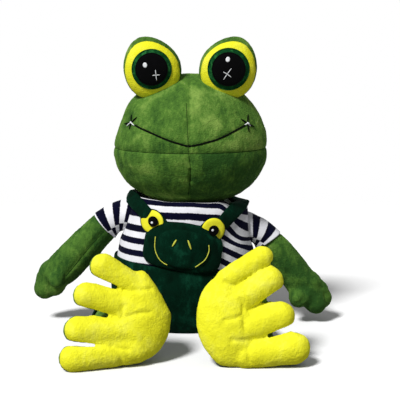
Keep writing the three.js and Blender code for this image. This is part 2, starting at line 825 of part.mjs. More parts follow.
function legForm(side, name, detail, offset, thickness) {
  const length = ankleForward - hipForward;
  const hipRound = legRadius;
  const ankleRound = ankleRadius;
  const ends = { start: -hipRound, end: length + ankleRound, roundStart: hipRound, roundEnd: ankleRound };
  const rings = ringDistances(ends, detail.steps).map((distance) => {
    const share = THREE.MathUtils.clamp(distance / length, 0, 1);
    const centre = legPoint(side, name, share);
    if (distance < 0 || distance > length) {
      centre.y -= distance - share * length;
    }
    const radius = lerp(legRadius, ankleRadius, share) * roundness(distance, ends) * thickness;
    const across = new THREE.Vector3(1, 0, 0);
    return { centre, across, up: new THREE.Vector3(0, 0, 1), half: [radius, radius] };
  });
  rings[0].pole = new THREE.Vector3(0, hipRound, 0);
  rings.at(-1).pole = legPoint(side, name, 1).add(new THREE.Vector3(0, -ankleRound, 0));
  return toSolid(tubeForm(rings, detail.around, offset));
}

function buildLeg(name) {
  const side = sides[name];
  const frame = legFrames[name];
  const hole = rod(turningHole, -overrun, hipRadius() * 2, 'y');
  const inner = legForm(side, name, coarseLimb, -plush, 1);
  const skin = legForm(side, name, fineLimb, 0, 1).subtract(inner).subtract(hole);
  addPiece(frame, `leg_skin_${name}`, skin, materials.greenPlush);
  addPiece(frame, `leg_stuffing_${name}`, legForm(side, name, coarseLimb, -fill, 1), materials.fibre);

  const reach = legRadius * 4;
  const hem = block(
    new THREE.Vector3(-reach, -trouserLegLength, -reach),
    new THREE.Vector3(reach, reach, reach),
  );
  const trouserLeg = legForm(side, name, fineLimb, clearance + velour, 1)
    .subtract(legForm(side, name, fineLimb, clearance, 1)).subtract(hole).intersect(hem);
  addPiece(frame, `trouser_leg_${name}`, trouserLeg, materials.greenVelour);
}

// Feet

function footForm(name, detail, offset, rise) {
  const side = sides[name];
  const palmOutline = eggOutline({
    halfWidth: palmHalfWidth, down: palmHalfHeight, up: palmHalfHeight, fullnessDown: 2, fullnessUp: 2,
  }, detail.steps);
  const middle = new THREE.Vector3(-side * palmInward, -footForward, rise);
  const palm = moved(
    turnedForm(palmOutline, footHalfDepth / palmHalfWidth, detail, offset),
    new THREE.Matrix4().setPosition(middle),
  );
  const toes = toeShares.map(({ root, tip, girth }) => {
    const place = ([x, z]) => middle.clone().add(
      new THREE.Vector3(side * x * palmHalfWidth, 0, z * palmHalfHeight),
    );
    const radius = toeRadius * girth;
    return lobeForm(place(root), place(tip), [radius * 0.94, radius], detail, offset);
  });
  return joined([palm, ...toes]);
}

// How far the palm's middle lies above the ankle, so that the floor presses the foot just flat
function standingRise(name) {
  const form = carried(footForm(name, fineFoot, 0, 0), footFrames[name], frog);
  return -form.boundingBox().min[2] - floorFlat;
}

function buildFoot(name) {
  const frame = footFrames[name];
  const rise = standingRise(name);
  const floor = belowFloor(0, frame);
  const socket = ball(ankleRadius + jointClearance);
  const shell = footForm(name, fineFoot, 0, rise).subtract(footForm(name, coarseFoot, -plush, rise))
    .subtract(socket).subtract(floor);
  const reach = palmHalfHeight * 4;
  const front = shell.intersect(besideSeam('y', -footForward, -1, reach));
  const back = shell.intersect(besideSeam('y', -footForward, 1, reach));
  addPiece(frame, `foot_sole_${name}`, front, materials.yellowPlush);
  addPiece(frame, `foot_instep_${name}`, back, materials.greenPlush);
  const stuffing = footForm(name, coarseFoot, -fill, rise).subtract(socket).subtract(floor);
  addPiece(frame, `foot_stuffing_${name}`, stuffing, materials.fibre);
}

buildTorso();
buildClothes();
buildBib();
buildStraps();
buildNeck();
buildHead();
for (const name of Object.keys(sides)) {
  buildPod(name);
  buildArm(name);
  buildLeg(name);
  buildFoot(name);
}

export default frog;
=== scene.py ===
import functools
import math

import bmesh
import bpy
import numpy as np
from mathutils import Matrix, Vector
from mathutils.bvhtree import BVHTree


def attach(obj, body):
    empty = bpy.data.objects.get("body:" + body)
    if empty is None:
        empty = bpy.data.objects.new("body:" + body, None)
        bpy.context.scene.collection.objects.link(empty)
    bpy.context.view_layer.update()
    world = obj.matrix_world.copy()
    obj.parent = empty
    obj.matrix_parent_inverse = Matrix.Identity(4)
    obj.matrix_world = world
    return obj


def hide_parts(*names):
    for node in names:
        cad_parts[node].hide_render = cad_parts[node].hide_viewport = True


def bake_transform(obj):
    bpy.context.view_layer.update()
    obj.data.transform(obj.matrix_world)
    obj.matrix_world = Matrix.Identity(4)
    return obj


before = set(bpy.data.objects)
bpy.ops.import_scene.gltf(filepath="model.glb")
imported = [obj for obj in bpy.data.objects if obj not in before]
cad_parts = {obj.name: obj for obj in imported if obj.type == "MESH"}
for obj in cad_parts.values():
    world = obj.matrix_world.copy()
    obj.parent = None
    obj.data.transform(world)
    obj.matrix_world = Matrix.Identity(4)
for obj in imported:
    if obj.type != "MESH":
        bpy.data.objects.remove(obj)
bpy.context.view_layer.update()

# Plush frog in a striped shirt and bib overalls.
# Sizes are in millimetres and become metres when a mesh is made.
# Left and right are the frog's own, so left is +X.

mm = 0.001
sides = {"left": 1, "right": -1}
quarterTurn = math.pi / 2
rad = math.radians


# Camera

cameraSet = {
    "elevation": rad(9),
    "distance": 1155,
    "target": Vector((17.45, 0, 130.7)),
    "lens": 99.0,
    "pixel": 1.05,  # millimetres at the target for one pixel of the 400 x 400 frame
}
toCamera = Vector((0, -math.cos(cameraSet["elevation"]), math.sin(cameraSet["elevation"])))
cameraPlace = cameraSet["target"] + toCamera * cameraSet["distance"]


def addObject(name, data):
    added = bpy.data.objects.new(name, data)
    bpy.context.scene.collection.objects.link(added)
    return added


def makeCamera():
    data = bpy.data.cameras.new("camera")
    data.lens = cameraSet["lens"]
    data.clip_start, data.clip_end = 0.05, 20
    camera = addObject("camera", data)
    camera.location = cameraPlace * mm
    camera.rotation_euler = (-toCamera).to_track_quat("-Z", "Y").to_euler()
    bpy.context.scene.camera = camera


def sightLine(u, v):  # from the camera through a place on the picture
    pixel = cameraSet["pixel"]
    rise = Vector((0, math.sin(cameraSet["elevation"]), math.cos(cameraSet["elevation"])))
    aim = cameraSet["target"] + Vector(((u - 200) * pixel, 0, 0)) + rise * ((200 - v) * pixel)
    return (aim - cameraPlace).normalized()


def placeAt(u, v, y):  # the place at a depth y that lies at a place of the picture
    sight = sightLine(u, v)
    return cameraPlace + sight * ((y - cameraPlace.y) / sight.y)


makeCamera()
print("camera is set")


# Frames that the pieces are made in

torsoSet = {
    "height": 142, "halfWidth": 72, "halfDepth": 57, "lean": rad(5), "shift": -3.5,
    "outline": [  # share of the half width, share of the height
        (0, -0.03), (0.45, -0.022), (0.78, 0.02), (0.93, 0.1), (1, 0.25), (0.99, 0.42), (0.955, 0.6),
        (0.915, 0.75), (0.885, 0.86), (0.83, 0.93), (0.72, 0.975), (0.45, 1), (0, 1.01),
    ],
}
headSet = {
    "neckHeight": 127, "beltRise": 60.5, "halfWidth": 78.4, "halfDepth": 64, "crown": 74, "chin": 58,
    "voxel": 4.5, "pressure": 3.5, "puff": 4.0, "grow": 1.8, "seamDepth": 1.4, "seamWidth": 3.4,
    "peak": 0.5, "peakWidth": 24, "rightCheek": 2.6, "cheekFrom": 25, "cheekHeight": 45,
    "room": 6.5,  # under the head, so that it can nod and turn
    "hollow": {"across": 2, "deep": 4, "fullness": 2.2, "edge": 1.2},  # of the shoulders around the head
    # lighter or darker pile on each head panel: partly the way its pile lies, and on the lower left panel
    # painted shade
    "panels": {"upperRight": -0.06, "upperLeft": 0.05, "lowerRight": -0.02, "lowerLeft": -0.3},
    "fill": (18, 1.8), "tufts": (2.2, 0.7), "beltDepth": 0.9, "beltRadius": 0.42, "faceRadius": 0.4,
    "chinTuck": [(190, 170), (190.5, 181)],  # this and the seams are places of the picture
    # the seams' dark threads are painted shade of their creases
    "seams": {
        "faceSeamShade": [(186.3, 103), (187.4, 128), (188.3, 152)],
        "chinSeamShade": [(188.3, 153), (190.4, 167), (189.6, 182), (188, 196)],
    },
}
neckRows = [(0, -20), (10, -19.5), (16, -16), (18, -9), (17.6, -2), (16.4, 5), (15, 8), (10, 9.5), (0, 10)]
podSet = {
    "halfWidth": 28.5, "halfDepth": 17, "up": 33, "down": 30, "spread": 38.5, "rise": 81.5, "forward": 20,
    "lean": rad(13), "seamBack": 4.2, "seamTilt": (-0.03, 1, 0.09),
    "irisRadius": {"left": 20.6, "right": 19.6}, "pupilRadius": {"left": 16.5, "right": 15.9},
    "grow": 1.0, "topShift": 3.4, "pressure": 3.0, "puff": 1.6, "voxel": 2.6, "tufts": (2.2, 0.6),
    "seamDepth": 1.2, "seamWidth": 2.2, "fullTop": 1.75, "fullBottom": 2.3, "fullFace": 2.2,
}
armSet = {
    "height": 112, "out": 62, "tilt": rad(12), "length": 130, "halfHeight": 17.5, "halfDepth": 15.5,
    "firstSlope": {"left": rad(21), "right": rad(13)}, "lastSlope": {"left": rad(48.5), "right": rad(51)},
    # lean makes each arm's pile darker all over: painted shade
    "bend": 0.35, "cuff": {"left": 28, "right": 31}, "lean": -0.19, "pressure": 2.0, "puff": 1.0,
    "grow": {"left": -0.2, "right": 0.9}, "seatFlat": 2.5, "seatSlope": 0.6, "seatReach": 60,
    "thickness": [(0, 1), (0.08, 0.86), (0.2, 0.83), (0.45, 0.97), (0.7, 1.0), (1, 0.96)],
    "palmEnd": 113, "wrist": 98, "voxel": 2.4, "fill": (14, 0.9), "tufts": (2.2, 0.7), "creased": (1.5, 2.0),
    "sewnTo": 12, "seamRadius": 0.45,
    "fingers": {  # end as a place of the picture, its depth, and the finger's radius
        "right": [((45, 288), 3, 12.2), ((47.5, 279.5), 3, 12.8), ((52.5, 273), 2, 15), ((54, 285), 3, 12.5),
                  ((57.5, 279), -13, 9.8)],
        "left": [((299, 297), -8, 11.6), ((315.5, 302), -3, 12.6), ((321.5, 298), 5, 11.4),
                 ((317.5, 290), 3, 11.8), ((308, 284.5), 1, 15.2)],
    },
}
legSet = {
    "hip": (56, -46, 22), "ankle": (62, -130, 27), "radius": 16.8, "ankleRadius": 16, "bow": 12,
    "trouserLength": 44, "seat": 2.75, "inside": 0.5, "fill": (14, 1.6), "tufts": (2.2, 0.7),
    "trouserGrow": 2.6, "trouserFolds": (14, 1.2), "thickness": 2.2,
}
legLength = legSet["hip"][1] - legSet["ankle"][1]
footSet = {
    "halfDepth": 16, "forward": 22.5, "inward": 19.5, "palmHalfWidth": {"left": 26.2, "right": 27.5},
    "palmHalfHeight": 41.5, "innerTaper": {"left": 0.05, "right": 0.6},
    "gaps": {  # between the toes: mouth and root as places of the picture, and the width at each
        "right": [((99, 281), (127.7, 291.7), 6, 3.2), ((84, 310), (122.7, 319.3), 6, 3),
                  ((66, 343), (113, 347), 5, 3)],
        "left": [((273, 262.5), (236, 285), 3.8, 3.2), ((279, 292), (244, 314), 4.5, 3),
                 ((293, 327), (254.5, 341), 6, 3)],
    },
    "tilt": rad(16), "turn": {"left": rad(0), "right": rad(-15)}, "roll": {"left": rad(-11), "right": rad(0)},
    "rise": {"left": 10.5, "right": 13.6}, "pressure": 3.0, "puff": 2.4, "grow": 1.3,
    "seamDepth": 1.0, "seamForward": -2.2,
    "gapLevel": 6, "gapPast": 12, "gapDepth": 30, "gapLength": 50, "wall": 1.6,
    "voxels": (2.2, 1.8), "seamWidth": 2.4, "creased": (1.7, 2.0), "ankleRoom": 0.6,
    "fill": (12, 1.4), "tufts": (2.2, 0.6),
    "toes": {  # root and tip outward and up from the palm's middle, and their radii
        "left": [((10, 38), (45.4, 53.1), (11, 10)), ((8, 14), (47.7, 29.9), (13, 12.7)),
                 ((8, -11), (51.1, -4.1), (13, 13.3)), ((12, -33), (58.1, -35.7), (12, 14.2))],
        "right": [((4, 24.5), (37, 44.6), (11, 11.7)), ((4, 5), (51.9, 17.6), (12.5, 11.8)),
                  ((6, -16.5), (59.5, -14.4), (12.5, 12.6)), ((6, -32), (63.4, -39.9), (12.8, 12.6))],
    },
}
layers = {"shirt": 1.95, "overalls": 4.7}  # distances out from the torso's skin


def turnBy(angle, axis="Y"):
    return Matrix.Rotation(angle, 4, axis)


def shiftBy(x, y, z):
    return Matrix.Translation((x, y, z))


torsoFrame = shiftBy(torsoSet["shift"], 0, 0) @ turnBy(torsoSet["lean"])
neckPoint = torsoFrame @ Vector((0, 0, headSet["neckHeight"]))
headFrame = Matrix.Translation(neckPoint)
podHeight = headSet["beltRise"] + podSet["rise"]
podFrames = {
    name: headFrame @ shiftBy(side * podSet["spread"], -podSet["forward"], podHeight)
    @ turnBy(side * podSet["lean"]) for name, side in sides.items()
}
armFrames = {
    name: torsoFrame @ shiftBy(side * armSet["out"], 0, armSet["height"]) @ turnBy(-side * armSet["tilt"])
    for name, side in sides.items()
}
hips = {name: Vector((side * legSet["hip"][0], *legSet["hip"][1:])) for name, side in sides.items()}
ankles = {name: Vector((side * legSet["ankle"][0], *legSet["ankle"][1:])) for name, side in sides.items()}
footFrames = {
    name: Matrix.Translation(ankles[name]) @ turnBy(-footSet["tilt"], "X")
    @ turnBy(side * footSet["turn"][name], "Z") @ turnBy(footSet["roll"][name])
    for name, side in sides.items()
}


def carry(place, points):  # points are rows of x, y, z
    matrix = np.array(place)
    return np.asarray(points, float) @ matrix[:3, :3].T + matrix[:3, 3]


# Meshes

def addMesh(name, points, faces):
    mesh = bpy.data.meshes.new(name)
    mesh.from_pydata((np.asarray(points, float) * mm).tolist(), [], faces)
    mesh.update()
    mesh.shade_smooth()
    return addObject(name, mesh)


def pointsOf(piece):
    points = np.empty(len(piece.data.vertices) * 3)
    piece.data.vertices.foreach_get("co", points)
    return points.reshape(-1, 3) / mm


def normalsOf(piece):
    normals = np.empty(len(piece.data.vertices) * 3)
    piece.data.vertex_normals.foreach_get("vector", normals)
    return normals.reshape(-1, 3)


def movePoints(piece, points):
    piece.data.vertices.foreach_set("co", (points * mm).ravel())
    piece.data.update()


def joinForms(forms):  # several (points, faces) as one
    points, faces, start = [], [], 0
    for formPoints, formFaces in forms:
        points.append(formPoints)
        faces += [tuple(i + start for i in face) for face in formFaces]
        start += len(formPoints)
    return np.vstack(points), faces


def settle(piece):  # makes the modifiers' result the mesh itself
    graph = bpy.context.evaluated_depsgraph_get()
    mesh = bpy.data.meshes.new_from_object(piece.evaluated_get(graph))
    old = piece.data
    piece.modifiers.clear()
    piece.data = mesh
    bpy.data.meshes.remove(old)
    piece.data.shade_smooth()


def modify(piece, kind, **values):
    modifier = piece.modifiers.new(kind.lower(), kind)
    for key, value in values.items():
        setattr(modifier, key, value)
    settle(piece)


def remesh(piece, voxel):
    modify(piece, "REMESH", mode="VOXEL", voxel_size=voxel * mm)


def soften(piece, times):
    modify(piece, "SMOOTH", factor=0.5, iterations=times)


def subdivide(piece, times=1):
    modify(piece, "SUBSURF", levels=times, render_levels=times)


def roughen(piece, grain, depth):  # uneven fill, or tufts of pile
    texture = bpy.data.textures.new("unevenness", "CLOUDS")
    texture.noise_scale = grain * mm
    texture.noise_depth = 2
    modify(piece, "DISPLACE", texture=texture, texture_coords="LOCAL", strength=depth * mm, mid_level=0.5)


def distanceTo(points, line):  # from each point to a line through several places
    nearest = np.full(len(points), 1e9)
    for a, b in zip(line, line[1:]):
        a, b = np.asarray(a, float), np.asarray(b, float)
        along = b - a
        share = np.clip(((points - a) @ along) / (along @ along), 0, 1)
        nearest = np.minimum(nearest, np.linalg.norm(points - a - share[:, None] * along, axis=1))
    return nearest


def drawIn(piece, nearest, depth, width, heldShare=0.7):
    # pulls the cloth in where it is near a seam, and returns what the thread holds
    pull = depth * np.exp(-((nearest / width) ** 2))
    movePoints(piece, pointsOf(piece) - normalsOf(piece) * pull[:, None])
    return np.nonzero(nearest < width * heldShare)[0]


def crease(piece, lines, depth, width):  # lines are places of the picture
    surface = surfaceOf(piece)
    routes = [[seenAt(surface, u, v) for u, v in line] for line in lines]
    points = pointsOf(piece)
    return drawIn(piece, np.min([distanceTo(points, route) for route in routes], axis=0), depth, width)


clothSet = {
    "quality": 4, "mass": 0.3, "tension_stiffness": 12, "compression_stiffness": 12, "bending_stiffness": 0.6,
    "use_pressure": True, "vertex_group_mass": "seams",
}


def stuff(piece, held, pressure, puff, steps=20):  # fills the sewn cloth; what the thread holds stays
    start = pointsOf(piece)
    seams = piece.vertex_groups.new(name="seams")
    seams.add([int(i) for i in held], 1.0, "REPLACE")
    cloth = piece.modifiers.new("filling", "CLOTH")
    for key, value in clothSet.items():
        setattr(cloth.settings, key, value)
    cloth.settings.uniform_pressure_force = pressure
    cloth.settings.effector_weights.gravity = 0
    cloth.collision_settings.use_collision = False
    cloth.point_cache.frame_start, cloth.point_cache.frame_end = 1, steps
    for step in range(1, steps + 1):
        bpy.context.scene.frame_set(step)
    settle(piece)
    move = pointsOf(piece) - start
    reach = np.linalg.norm(move, axis=1, keepdims=True)
    movePoints(piece, start + move * np.minimum(1, puff / np.maximum(reach, 1e-6)))
    piece.vertex_groups.clear()
    bpy.context.scene.frame_set(1)
    print(f"  {piece.name} filled, moved {reach.mean():.1f} mm")


def anglesAround(around):
    return np.arange(around) * 2 * math.pi / around


def superEgg(halfWidth, down, up, fullDown, fullUp, steps):  # outline as rows of radius and height
    rows = []
    for i in range(steps + 1):
        angle = -quarterTurn + math.pi * i / steps
        power = 2 / (fullDown if angle < 0 else fullUp)
        reach = -down if angle < 0 else up
        radius = 0 if i in (0, steps) else halfWidth * math.cos(angle) ** power
        rows.append((radius, reach * abs(math.sin(angle)) ** power))
    return rows


def ringFaces(rings, around, closed=True):  # with a pole after the last ring for each end where closed
    faces = []
    for ring in range(rings - 1):
        low = ring * around
        for i in range(around):
            turn = (i + 1) % around
            faces.append((low + i, low + turn, low + around + turn, low + around + i))
    if closed:
        start, end = rings * around, (rings - 1) * around
        faces += [(start, (i + 1) % around, i) for i in range(around)]
        faces += [(start + 1, end + i, end + (i + 1) % around) for i in range(around)]
    return faces


def turned(rows, depthShare, around, place):  # a closed round form; its first and last rows are its poles
    angles = anglesAround(around)
    rings = [np.column_stack((r * np.cos(angles), r * depthShare * np.sin(angles), np.full(around, z)))
             for r, z in rows[1:-1]]
    poles = [[0, 0, rows[0][1]], [0, 0, rows[-1][1]]]
    return carry(place, np.vstack(rings + [poles])), ringFaces(len(rings), around)


def tube(rings, around, place):  # each ring is centre, across, up, half across, half up
    angles = anglesAround(around)
    rows = [np.array(centre) + np.outer(np.cos(angles) * a, across) + np.outer(np.sin(angles) * b, up)
            for centre, across, up, a, b in rings]
    poles = [list(rings[0][0]), list(rings[-1][0])]
    return carry(place, np.vstack(rows + [poles])), ringFaces(len(rings), around)


def roundEnds(start, end, roundStart, roundEnd, spacing, capSteps=8):
    # distances along a limb and its thickness share there
    rows = []
    capAngles = [i / capSteps * quarterTurn for i in range(1, capSteps)]
    for angle in capAngles:
        if roundStart > 0:
            rows.append((start + roundStart * (1 - math.cos(angle)), math.sin(angle)))
    steps = max(2, round((end - roundEnd - start - roundStart) / spacing))
    for i in range(steps + 1):
        rows.append((start + roundStart + (end - roundEnd - start - roundStart) * i / steps, 1))
    for angle in capAngles:
        if roundEnd > 0:
            rows.append((end - roundEnd + roundEnd * math.sin(angle), math.cos(angle)))
    return rows


def lobe(root, tip, radii, place, spacing=3, around=20):  # a straight stuffed finger or toe with round ends
    root, tip = Vector(root), Vector(tip)
    along = (tip - root).normalized()
    across = Vector((0, 1, 0))
    up = along.cross(across).normalized()
    length = (tip - root).length
    rings = []
    for distance, share in roundEnds(-radii[0], length + radii[1], *radii, spacing):
        step = min(1, max(0, distance / length))
        radius = (radii[0] + (radii[1] - radii[0]) * step) * share
        rings.append((root + along * distance, across, up, radius, radius))
    return tube(rings, around, place)


def surfaceOf(*pieces):
    points, faces = [], []
    for piece in pieces:
        start = len(points)
        points += [tuple(point.co) for point in piece.data.vertices]
        faces += [tuple(i + start for i in face.vertices) for face in piece.data.polygons]
    return BVHTree.FromPolygons(points, faces)


def seenAt(surface, u, v, lift=0.0):  # the place of a surface that lies at a place of the picture
    hit, normal, _, _ = surface.ray_cast(cameraPlace * mm, sightLine(u, v))
    if hit is None:
        far = cameraPlace + sightLine(u, v) * (cameraSet["distance"] - 50)
        hit, normal, _, _ = surface.find_nearest(far * mm)
    return hit / mm + normal * lift


def inTo(surface, start, end, lift):  # the place of a surface on the way from one place to another
    hit, normal, _, _ = surface.ray_cast(start * mm, (end - start).normalized())
    return hit / mm + normal * lift


def nearTo(surface, point, lift=0.0):
    hit, normal, _, _ = surface.find_nearest(Vector(point) * mm)
    return hit / mm + normal * lift


def smoothLine(places, steps):  # a curve through several places
    places = [Vector(p) for p in places]
    line = []
    last = len(places) - 1
    for i in range(steps + 1):
        along = i / steps * last
        k = min(int(along), last - 1)
        t = along - k
        p0, p1, p2, p3 = (places[max(k - 1, 0)], places[k], places[k + 1], places[min(k + 2, last)])
        line.append(0.5 * (2 * p1 + (p2 - p0) * t + (2 * p0 - 5 * p1 + 4 * p2 - p3) * t ** 2
                           + (3 * p1 - p0 - 3 * p2 + p3) * t ** 3))
    return line


def seenLine(surface, marks, steps, lift):  # a smooth line on a surface through places of the picture
    line = smoothLine([Vector((u, v, 0)) for u, v in marks], steps)
    return [seenAt(surface, mark.x, mark.y, lift) for mark in line]


threadSet = {
    "around": 8, "waist": 0.72, "tip": 0.3, "tipShare": 0.08,
    "forward": Vector((0.02, -1, 0.05)),  # a little aslant, so that no thread runs along it
}


def thread(name, line, radius, body, material, stitch=0.0, taper=False):
    waist, tip, tipShare = (threadSet[key] for key in ("waist", "tip", "tipShare"))
    rings = []
    length = 0.0
    total = sum((b - a).length for a, b in zip(line, line[1:]))
    for i, place in enumerate(line):
        along = (line[min(i + 1, len(line) - 1)] - line[max(i - 1, 0)]).normalized()
        across = along.cross(threadSet["forward"]).normalized()
        up = along.cross(across).normalized()
        if i:
            length += (place - line[i - 1]).length
        size = radius
        if stitch:
            size *= waist + (1 - waist) * abs(math.sin(math.pi * length / stitch))
        if taper:
            share = min(1, max(0, tipShare + (1 - 2 * tipShare) * length / total))
            size *= tip + (1 - tip) * math.sin(math.pi * share)
        rings.append((place, across, up, size, size))
    finishPiece(addMesh(name, *tube(rings, threadSet["around"], Matrix.Identity(4))), body, material)


def superRound(halfWidth, halfHeight, fullness):  # how far a rounded outline reaches at an angle
    def reach(angle):
        c, s = abs(math.cos(angle)), abs(math.sin(angle))
        return ((c / halfWidth) ** fullness + (s / halfHeight) ** fullness) ** (-1 / fullness)
    return reach


def dome(name, surface, place, lift, rise, outline, rings=14, around=64, sunk=0.6, edgeFullness=6):
    # a thin padded patch on a surface, rounded at its edge; the surface gives how far forward it is at x, z
    front, back = [], []
    for ring in range(1, rings + 1):
        share = ring / rings
        puff = rise * math.sqrt(max(0.0, 1 - share ** edgeFullness))
        for i in range(around):
            angle = i / around * 2 * math.pi
            x, z = (outline(angle) * share * turn for turn in (math.cos(angle), math.sin(angle)))
            front.append((x, surface(x, z, lift + puff), z))
            back.append((x, surface(x, z, lift - sunk), z))
    middle = [(0, surface(0, 0, lift + rise), 0), (0, surface(0, 0, lift - sunk), 0)]
    count = rings * around
    edge = count - around
    faces = []
    for i in range(around):
        n = (i + 1) % around
        for low in range(0, edge, around):
            faces.append((low + n, low + around + n, low + around + i, low + i)[::-1])
            faces.append(tuple(count + low + k for k in (n, around + n, around + i, i)))
        faces.append((2 * count, i, n))
        faces.append((2 * count + 1, count + n, count + i))
        faces.append((edge + i, count + edge + i, count + edge + n, edge + n))
    return addMesh(name, carry(place, front + back + middle), faces)


def splitAt(piece, middle, facing, frontName, backName):
    # cuts a stuffed form at its seam plane, and makes a piece of each side
    results = []
    for label, sign in ((frontName, -1), (backName, 1)):
        half = bmesh.new()
        half.from_mesh(piece.data)
        where = middle + facing * sign * 0.1
        bmesh.ops.bisect_plane(
            half, geom=half.verts[:] + half.edges[:] + half.faces[:], plane_co=where * mm, plane_no=facing,
            clear_outer=sign < 0, clear_inner=sign > 0)
        bmesh.ops.holes_fill(half, edges=[edge for edge in half.edges if edge.is_boundary], sides=0)
        mesh = bpy.data.meshes.new(label)
        half.to_mesh(mesh)
        half.free()
        for face in mesh.polygons:
            face.use_smooth = len(face.vertices) < 5
        results.append(addObject(label, mesh))
    bpy.data.objects.remove(piece)
    return results


def keepValues(piece, label, values):  # for the material, one at each point of the cloth
    attribute = piece.data.attributes.new(label, "FLOAT", "POINT")
    attribute.data.foreach_set("value", np.asarray(values, np.float32))


def finishPiece(piece, body, material, replaced=()):
    piece.data.materials.clear()
    piece.data.materials.append(finishes[material])
    if replaced:
        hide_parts(*replaced)
    if isinstance(body, str):
        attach(piece, body)
    else:
        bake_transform(piece)


# Materials

def paint(red, green, blue):  # screen colour to the renderer's
    def linear(value):
        value /= 255
        return value / 12.92 if value <= 0.04045 else ((value + 0.055) / 1.055) ** 2.4
    return (linear(red), linear(green), linear(blue), 1)


def addGroup(name, inputs, outputs):
    group = bpy.data.node_groups.new(name, "ShaderNodeTree")
    for label, value in inputs:
        socket = group.interface.new_socket(label, in_out="INPUT", socket_type="NodeSocketFloat")
        socket.default_value = value
    for label in outputs:
        group.interface.new_socket(label, in_out="OUTPUT", socket_type="NodeSocketFloat")
    return group, group.nodes.new("NodeGroupInput"), group.nodes.new("NodeGroupOutput")


def addNode(tree, kind, inputs=(), **values):
    node = tree.nodes.new(kind)
    for key, value in values.items():
        setattr(node, key, value)
    for socket, value in dict(inputs).items():
        if isinstance(value, bpy.types.NodeSocket):
            tree.links.new(value, node.inputs[socket])
        else:
            node.inputs[socket].default_value = value
    return node


def calc(tree, operation, first, second, third=None, clamp=False):
    inputs = {0: first, 1: second}
    if third is not None:
        inputs[2] = third
    return addNode(tree, "ShaderNodeMath", inputs, operation=operation, use_clamp=clamp).outputs[0]


def makePile():  # brushed pile: patches that lie different ways, streaks across them, and single tufts
    group, given, result = addGroup(
        "brushedPile", [("Patch Scale", 40.0), ("Tuft Scale", 700.0), ("Contrast", 1.0)], ["Shade", "Height"])
    place = addNode(group, "ShaderNodeTexCoord").outputs["Object"]
    lean = addNode(group, "ShaderNodeAttribute", attribute_name="pileLeanAndShade").outputs["Fac"]
    flat = addNode(group, "ShaderNodeMapping", {"Vector": place, "Scale": (1.0, 1.0, 0.4)}).outputs["Vector"]
    patches = addNode(group, "ShaderNodeTexNoise", {
        "Vector": place, "Scale": given.outputs["Patch Scale"], "Detail": 2.0, "Roughness": 0.5,
        "Distortion": 0.5}).outputs["Fac"]
    streaks = addNode(group, "ShaderNodeTexNoise", {
        "Vector": flat, "Scale": 260.0, "Detail": 2.0, "Roughness": 0.6, "Distortion": 0.4}).outputs["Fac"]
    tufts = addNode(group, "ShaderNodeTexNoise", {
        "Vector": place, "Scale": given.outputs["Tuft Scale"], "Detail": 2.0,
        "Roughness": 0.65}).outputs["Fac"]
    shade = calc(group, "MULTIPLY", patches, 0.56)
    shade = calc(group, "MULTIPLY_ADD", streaks, 0.26, shade)
    shade = calc(group, "MULTIPLY_ADD", tufts, 0.18, shade)
    shade = calc(group, "SUBTRACT", shade, 0.5)
    shade = calc(group, "MULTIPLY_ADD", shade, given.outputs["Contrast"], 0.5)
    # adds each piece's pile lean and painted shade, kept at its points
    shade = calc(group, "ADD", shade, lean, clamp=True)
    height = calc(group, "MULTIPLY_ADD", patches, 1.2, calc(group, "MULTIPLY_ADD", streaks, 0.5, tufts))
    group.links.new(shade, result.inputs["Shade"])
    group.links.new(height, result.inputs["Height"])
    return group


def makeStripes():  # knitted bands across the attribute that runs along each garment
    group, given, result = addGroup(
        "knittedStripes", [("Pitch", 12.5), ("Middle", 82.9), ("Width", 0.5)], ["Band", "Height"])
    along = addNode(group, "ShaderNodeAttribute", attribute_name="alongGarment").outputs["Fac"]
    place = addNode(group, "ShaderNodeTexCoord").outputs["Object"]
    waver = addNode(group, "ShaderNodeTexNoise", {
        "Vector": place, "Scale": 900.0, "Detail": 1.0}).outputs["Fac"]
    moved = calc(group, "MULTIPLY_ADD", waver, 1.1, along)
    fromMiddle = calc(group, "SUBTRACT", moved, given.outputs["Middle"])
    turns = calc(group, "DIVIDE", fromMiddle, given.outputs["Pitch"])
    wrapped = calc(group, "WRAP", turns, 0.5, -0.5)
    away = calc(group, "MULTIPLY", calc(group, "ABSOLUTE", wrapped, 0.0), 2.0)
    inside = calc(group, "SUBTRACT", given.outputs["Width"], away)
    band = calc(group, "MULTIPLY_ADD", inside, 14.0, 0.5, clamp=True)
    group.links.new(band, result.inputs["Band"])
    group.links.new(waver, result.inputs["Height"])
    return group


pileGroup = makePile()
stripeGroup = makeStripes()


def startMaterial(name, roughness, sheen, sheenTint):
    material = bpy.data.materials.new(name)
    material.use_nodes = True
    tree = material.node_tree
    shader = tree.nodes["Principled BSDF"]
    shader.inputs["Roughness"].default_value = roughness
    shader.inputs["Specular IOR Level"].default_value = 0.06
    shader.inputs["Sheen Weight"].default_value = sheen
    shader.inputs["Sheen Roughness"].default_value = 0.4
    shader.inputs["Sheen Tint"].default_value = sheenTint
    return material, tree, shader


def rampOf(tree, fac, stops, colours):
    ramp = addNode(tree, "ShaderNodeValToRGB", {"Fac": fac})
    elements = ramp.color_ramp.elements
    while len(elements) < len(stops):
        elements.new(0.5)
    for i, (stop, colour) in enumerate(zip(stops, colours)):
        elements[i].position = stop
        elements[i].color = paint(*colour)
    return ramp.outputs["Color"]


def addPile(tree, patch, tuft, contrast):
    pile = tree.nodes.new("ShaderNodeGroup")
    pile.node_tree = pileGroup
    pile.inputs["Patch Scale"].default_value = 1000 / patch
    pile.inputs["Tuft Scale"].default_value = 1000 / tuft
    pile.inputs["Contrast"].default_value = contrast
    return pile


def pileMaterial(name, stops, colours, patch, tuft, contrast, strength, distance, sheen):
    material, tree, shader = startMaterial(name, 0.95, sheen, paint(*colours[-1]))
    pile = addPile(tree, patch, tuft, contrast)
    tree.links.new(rampOf(tree, pile.outputs["Shade"], stops, colours), shader.inputs["Base Color"])
    relief = addNode(tree, "ShaderNodeBump", {
        "Height": pile.outputs["Height"], "Strength": strength, "Distance": distance * mm})
    tree.links.new(relief.outputs["Normal"], shader.inputs["Normal"])
    return material


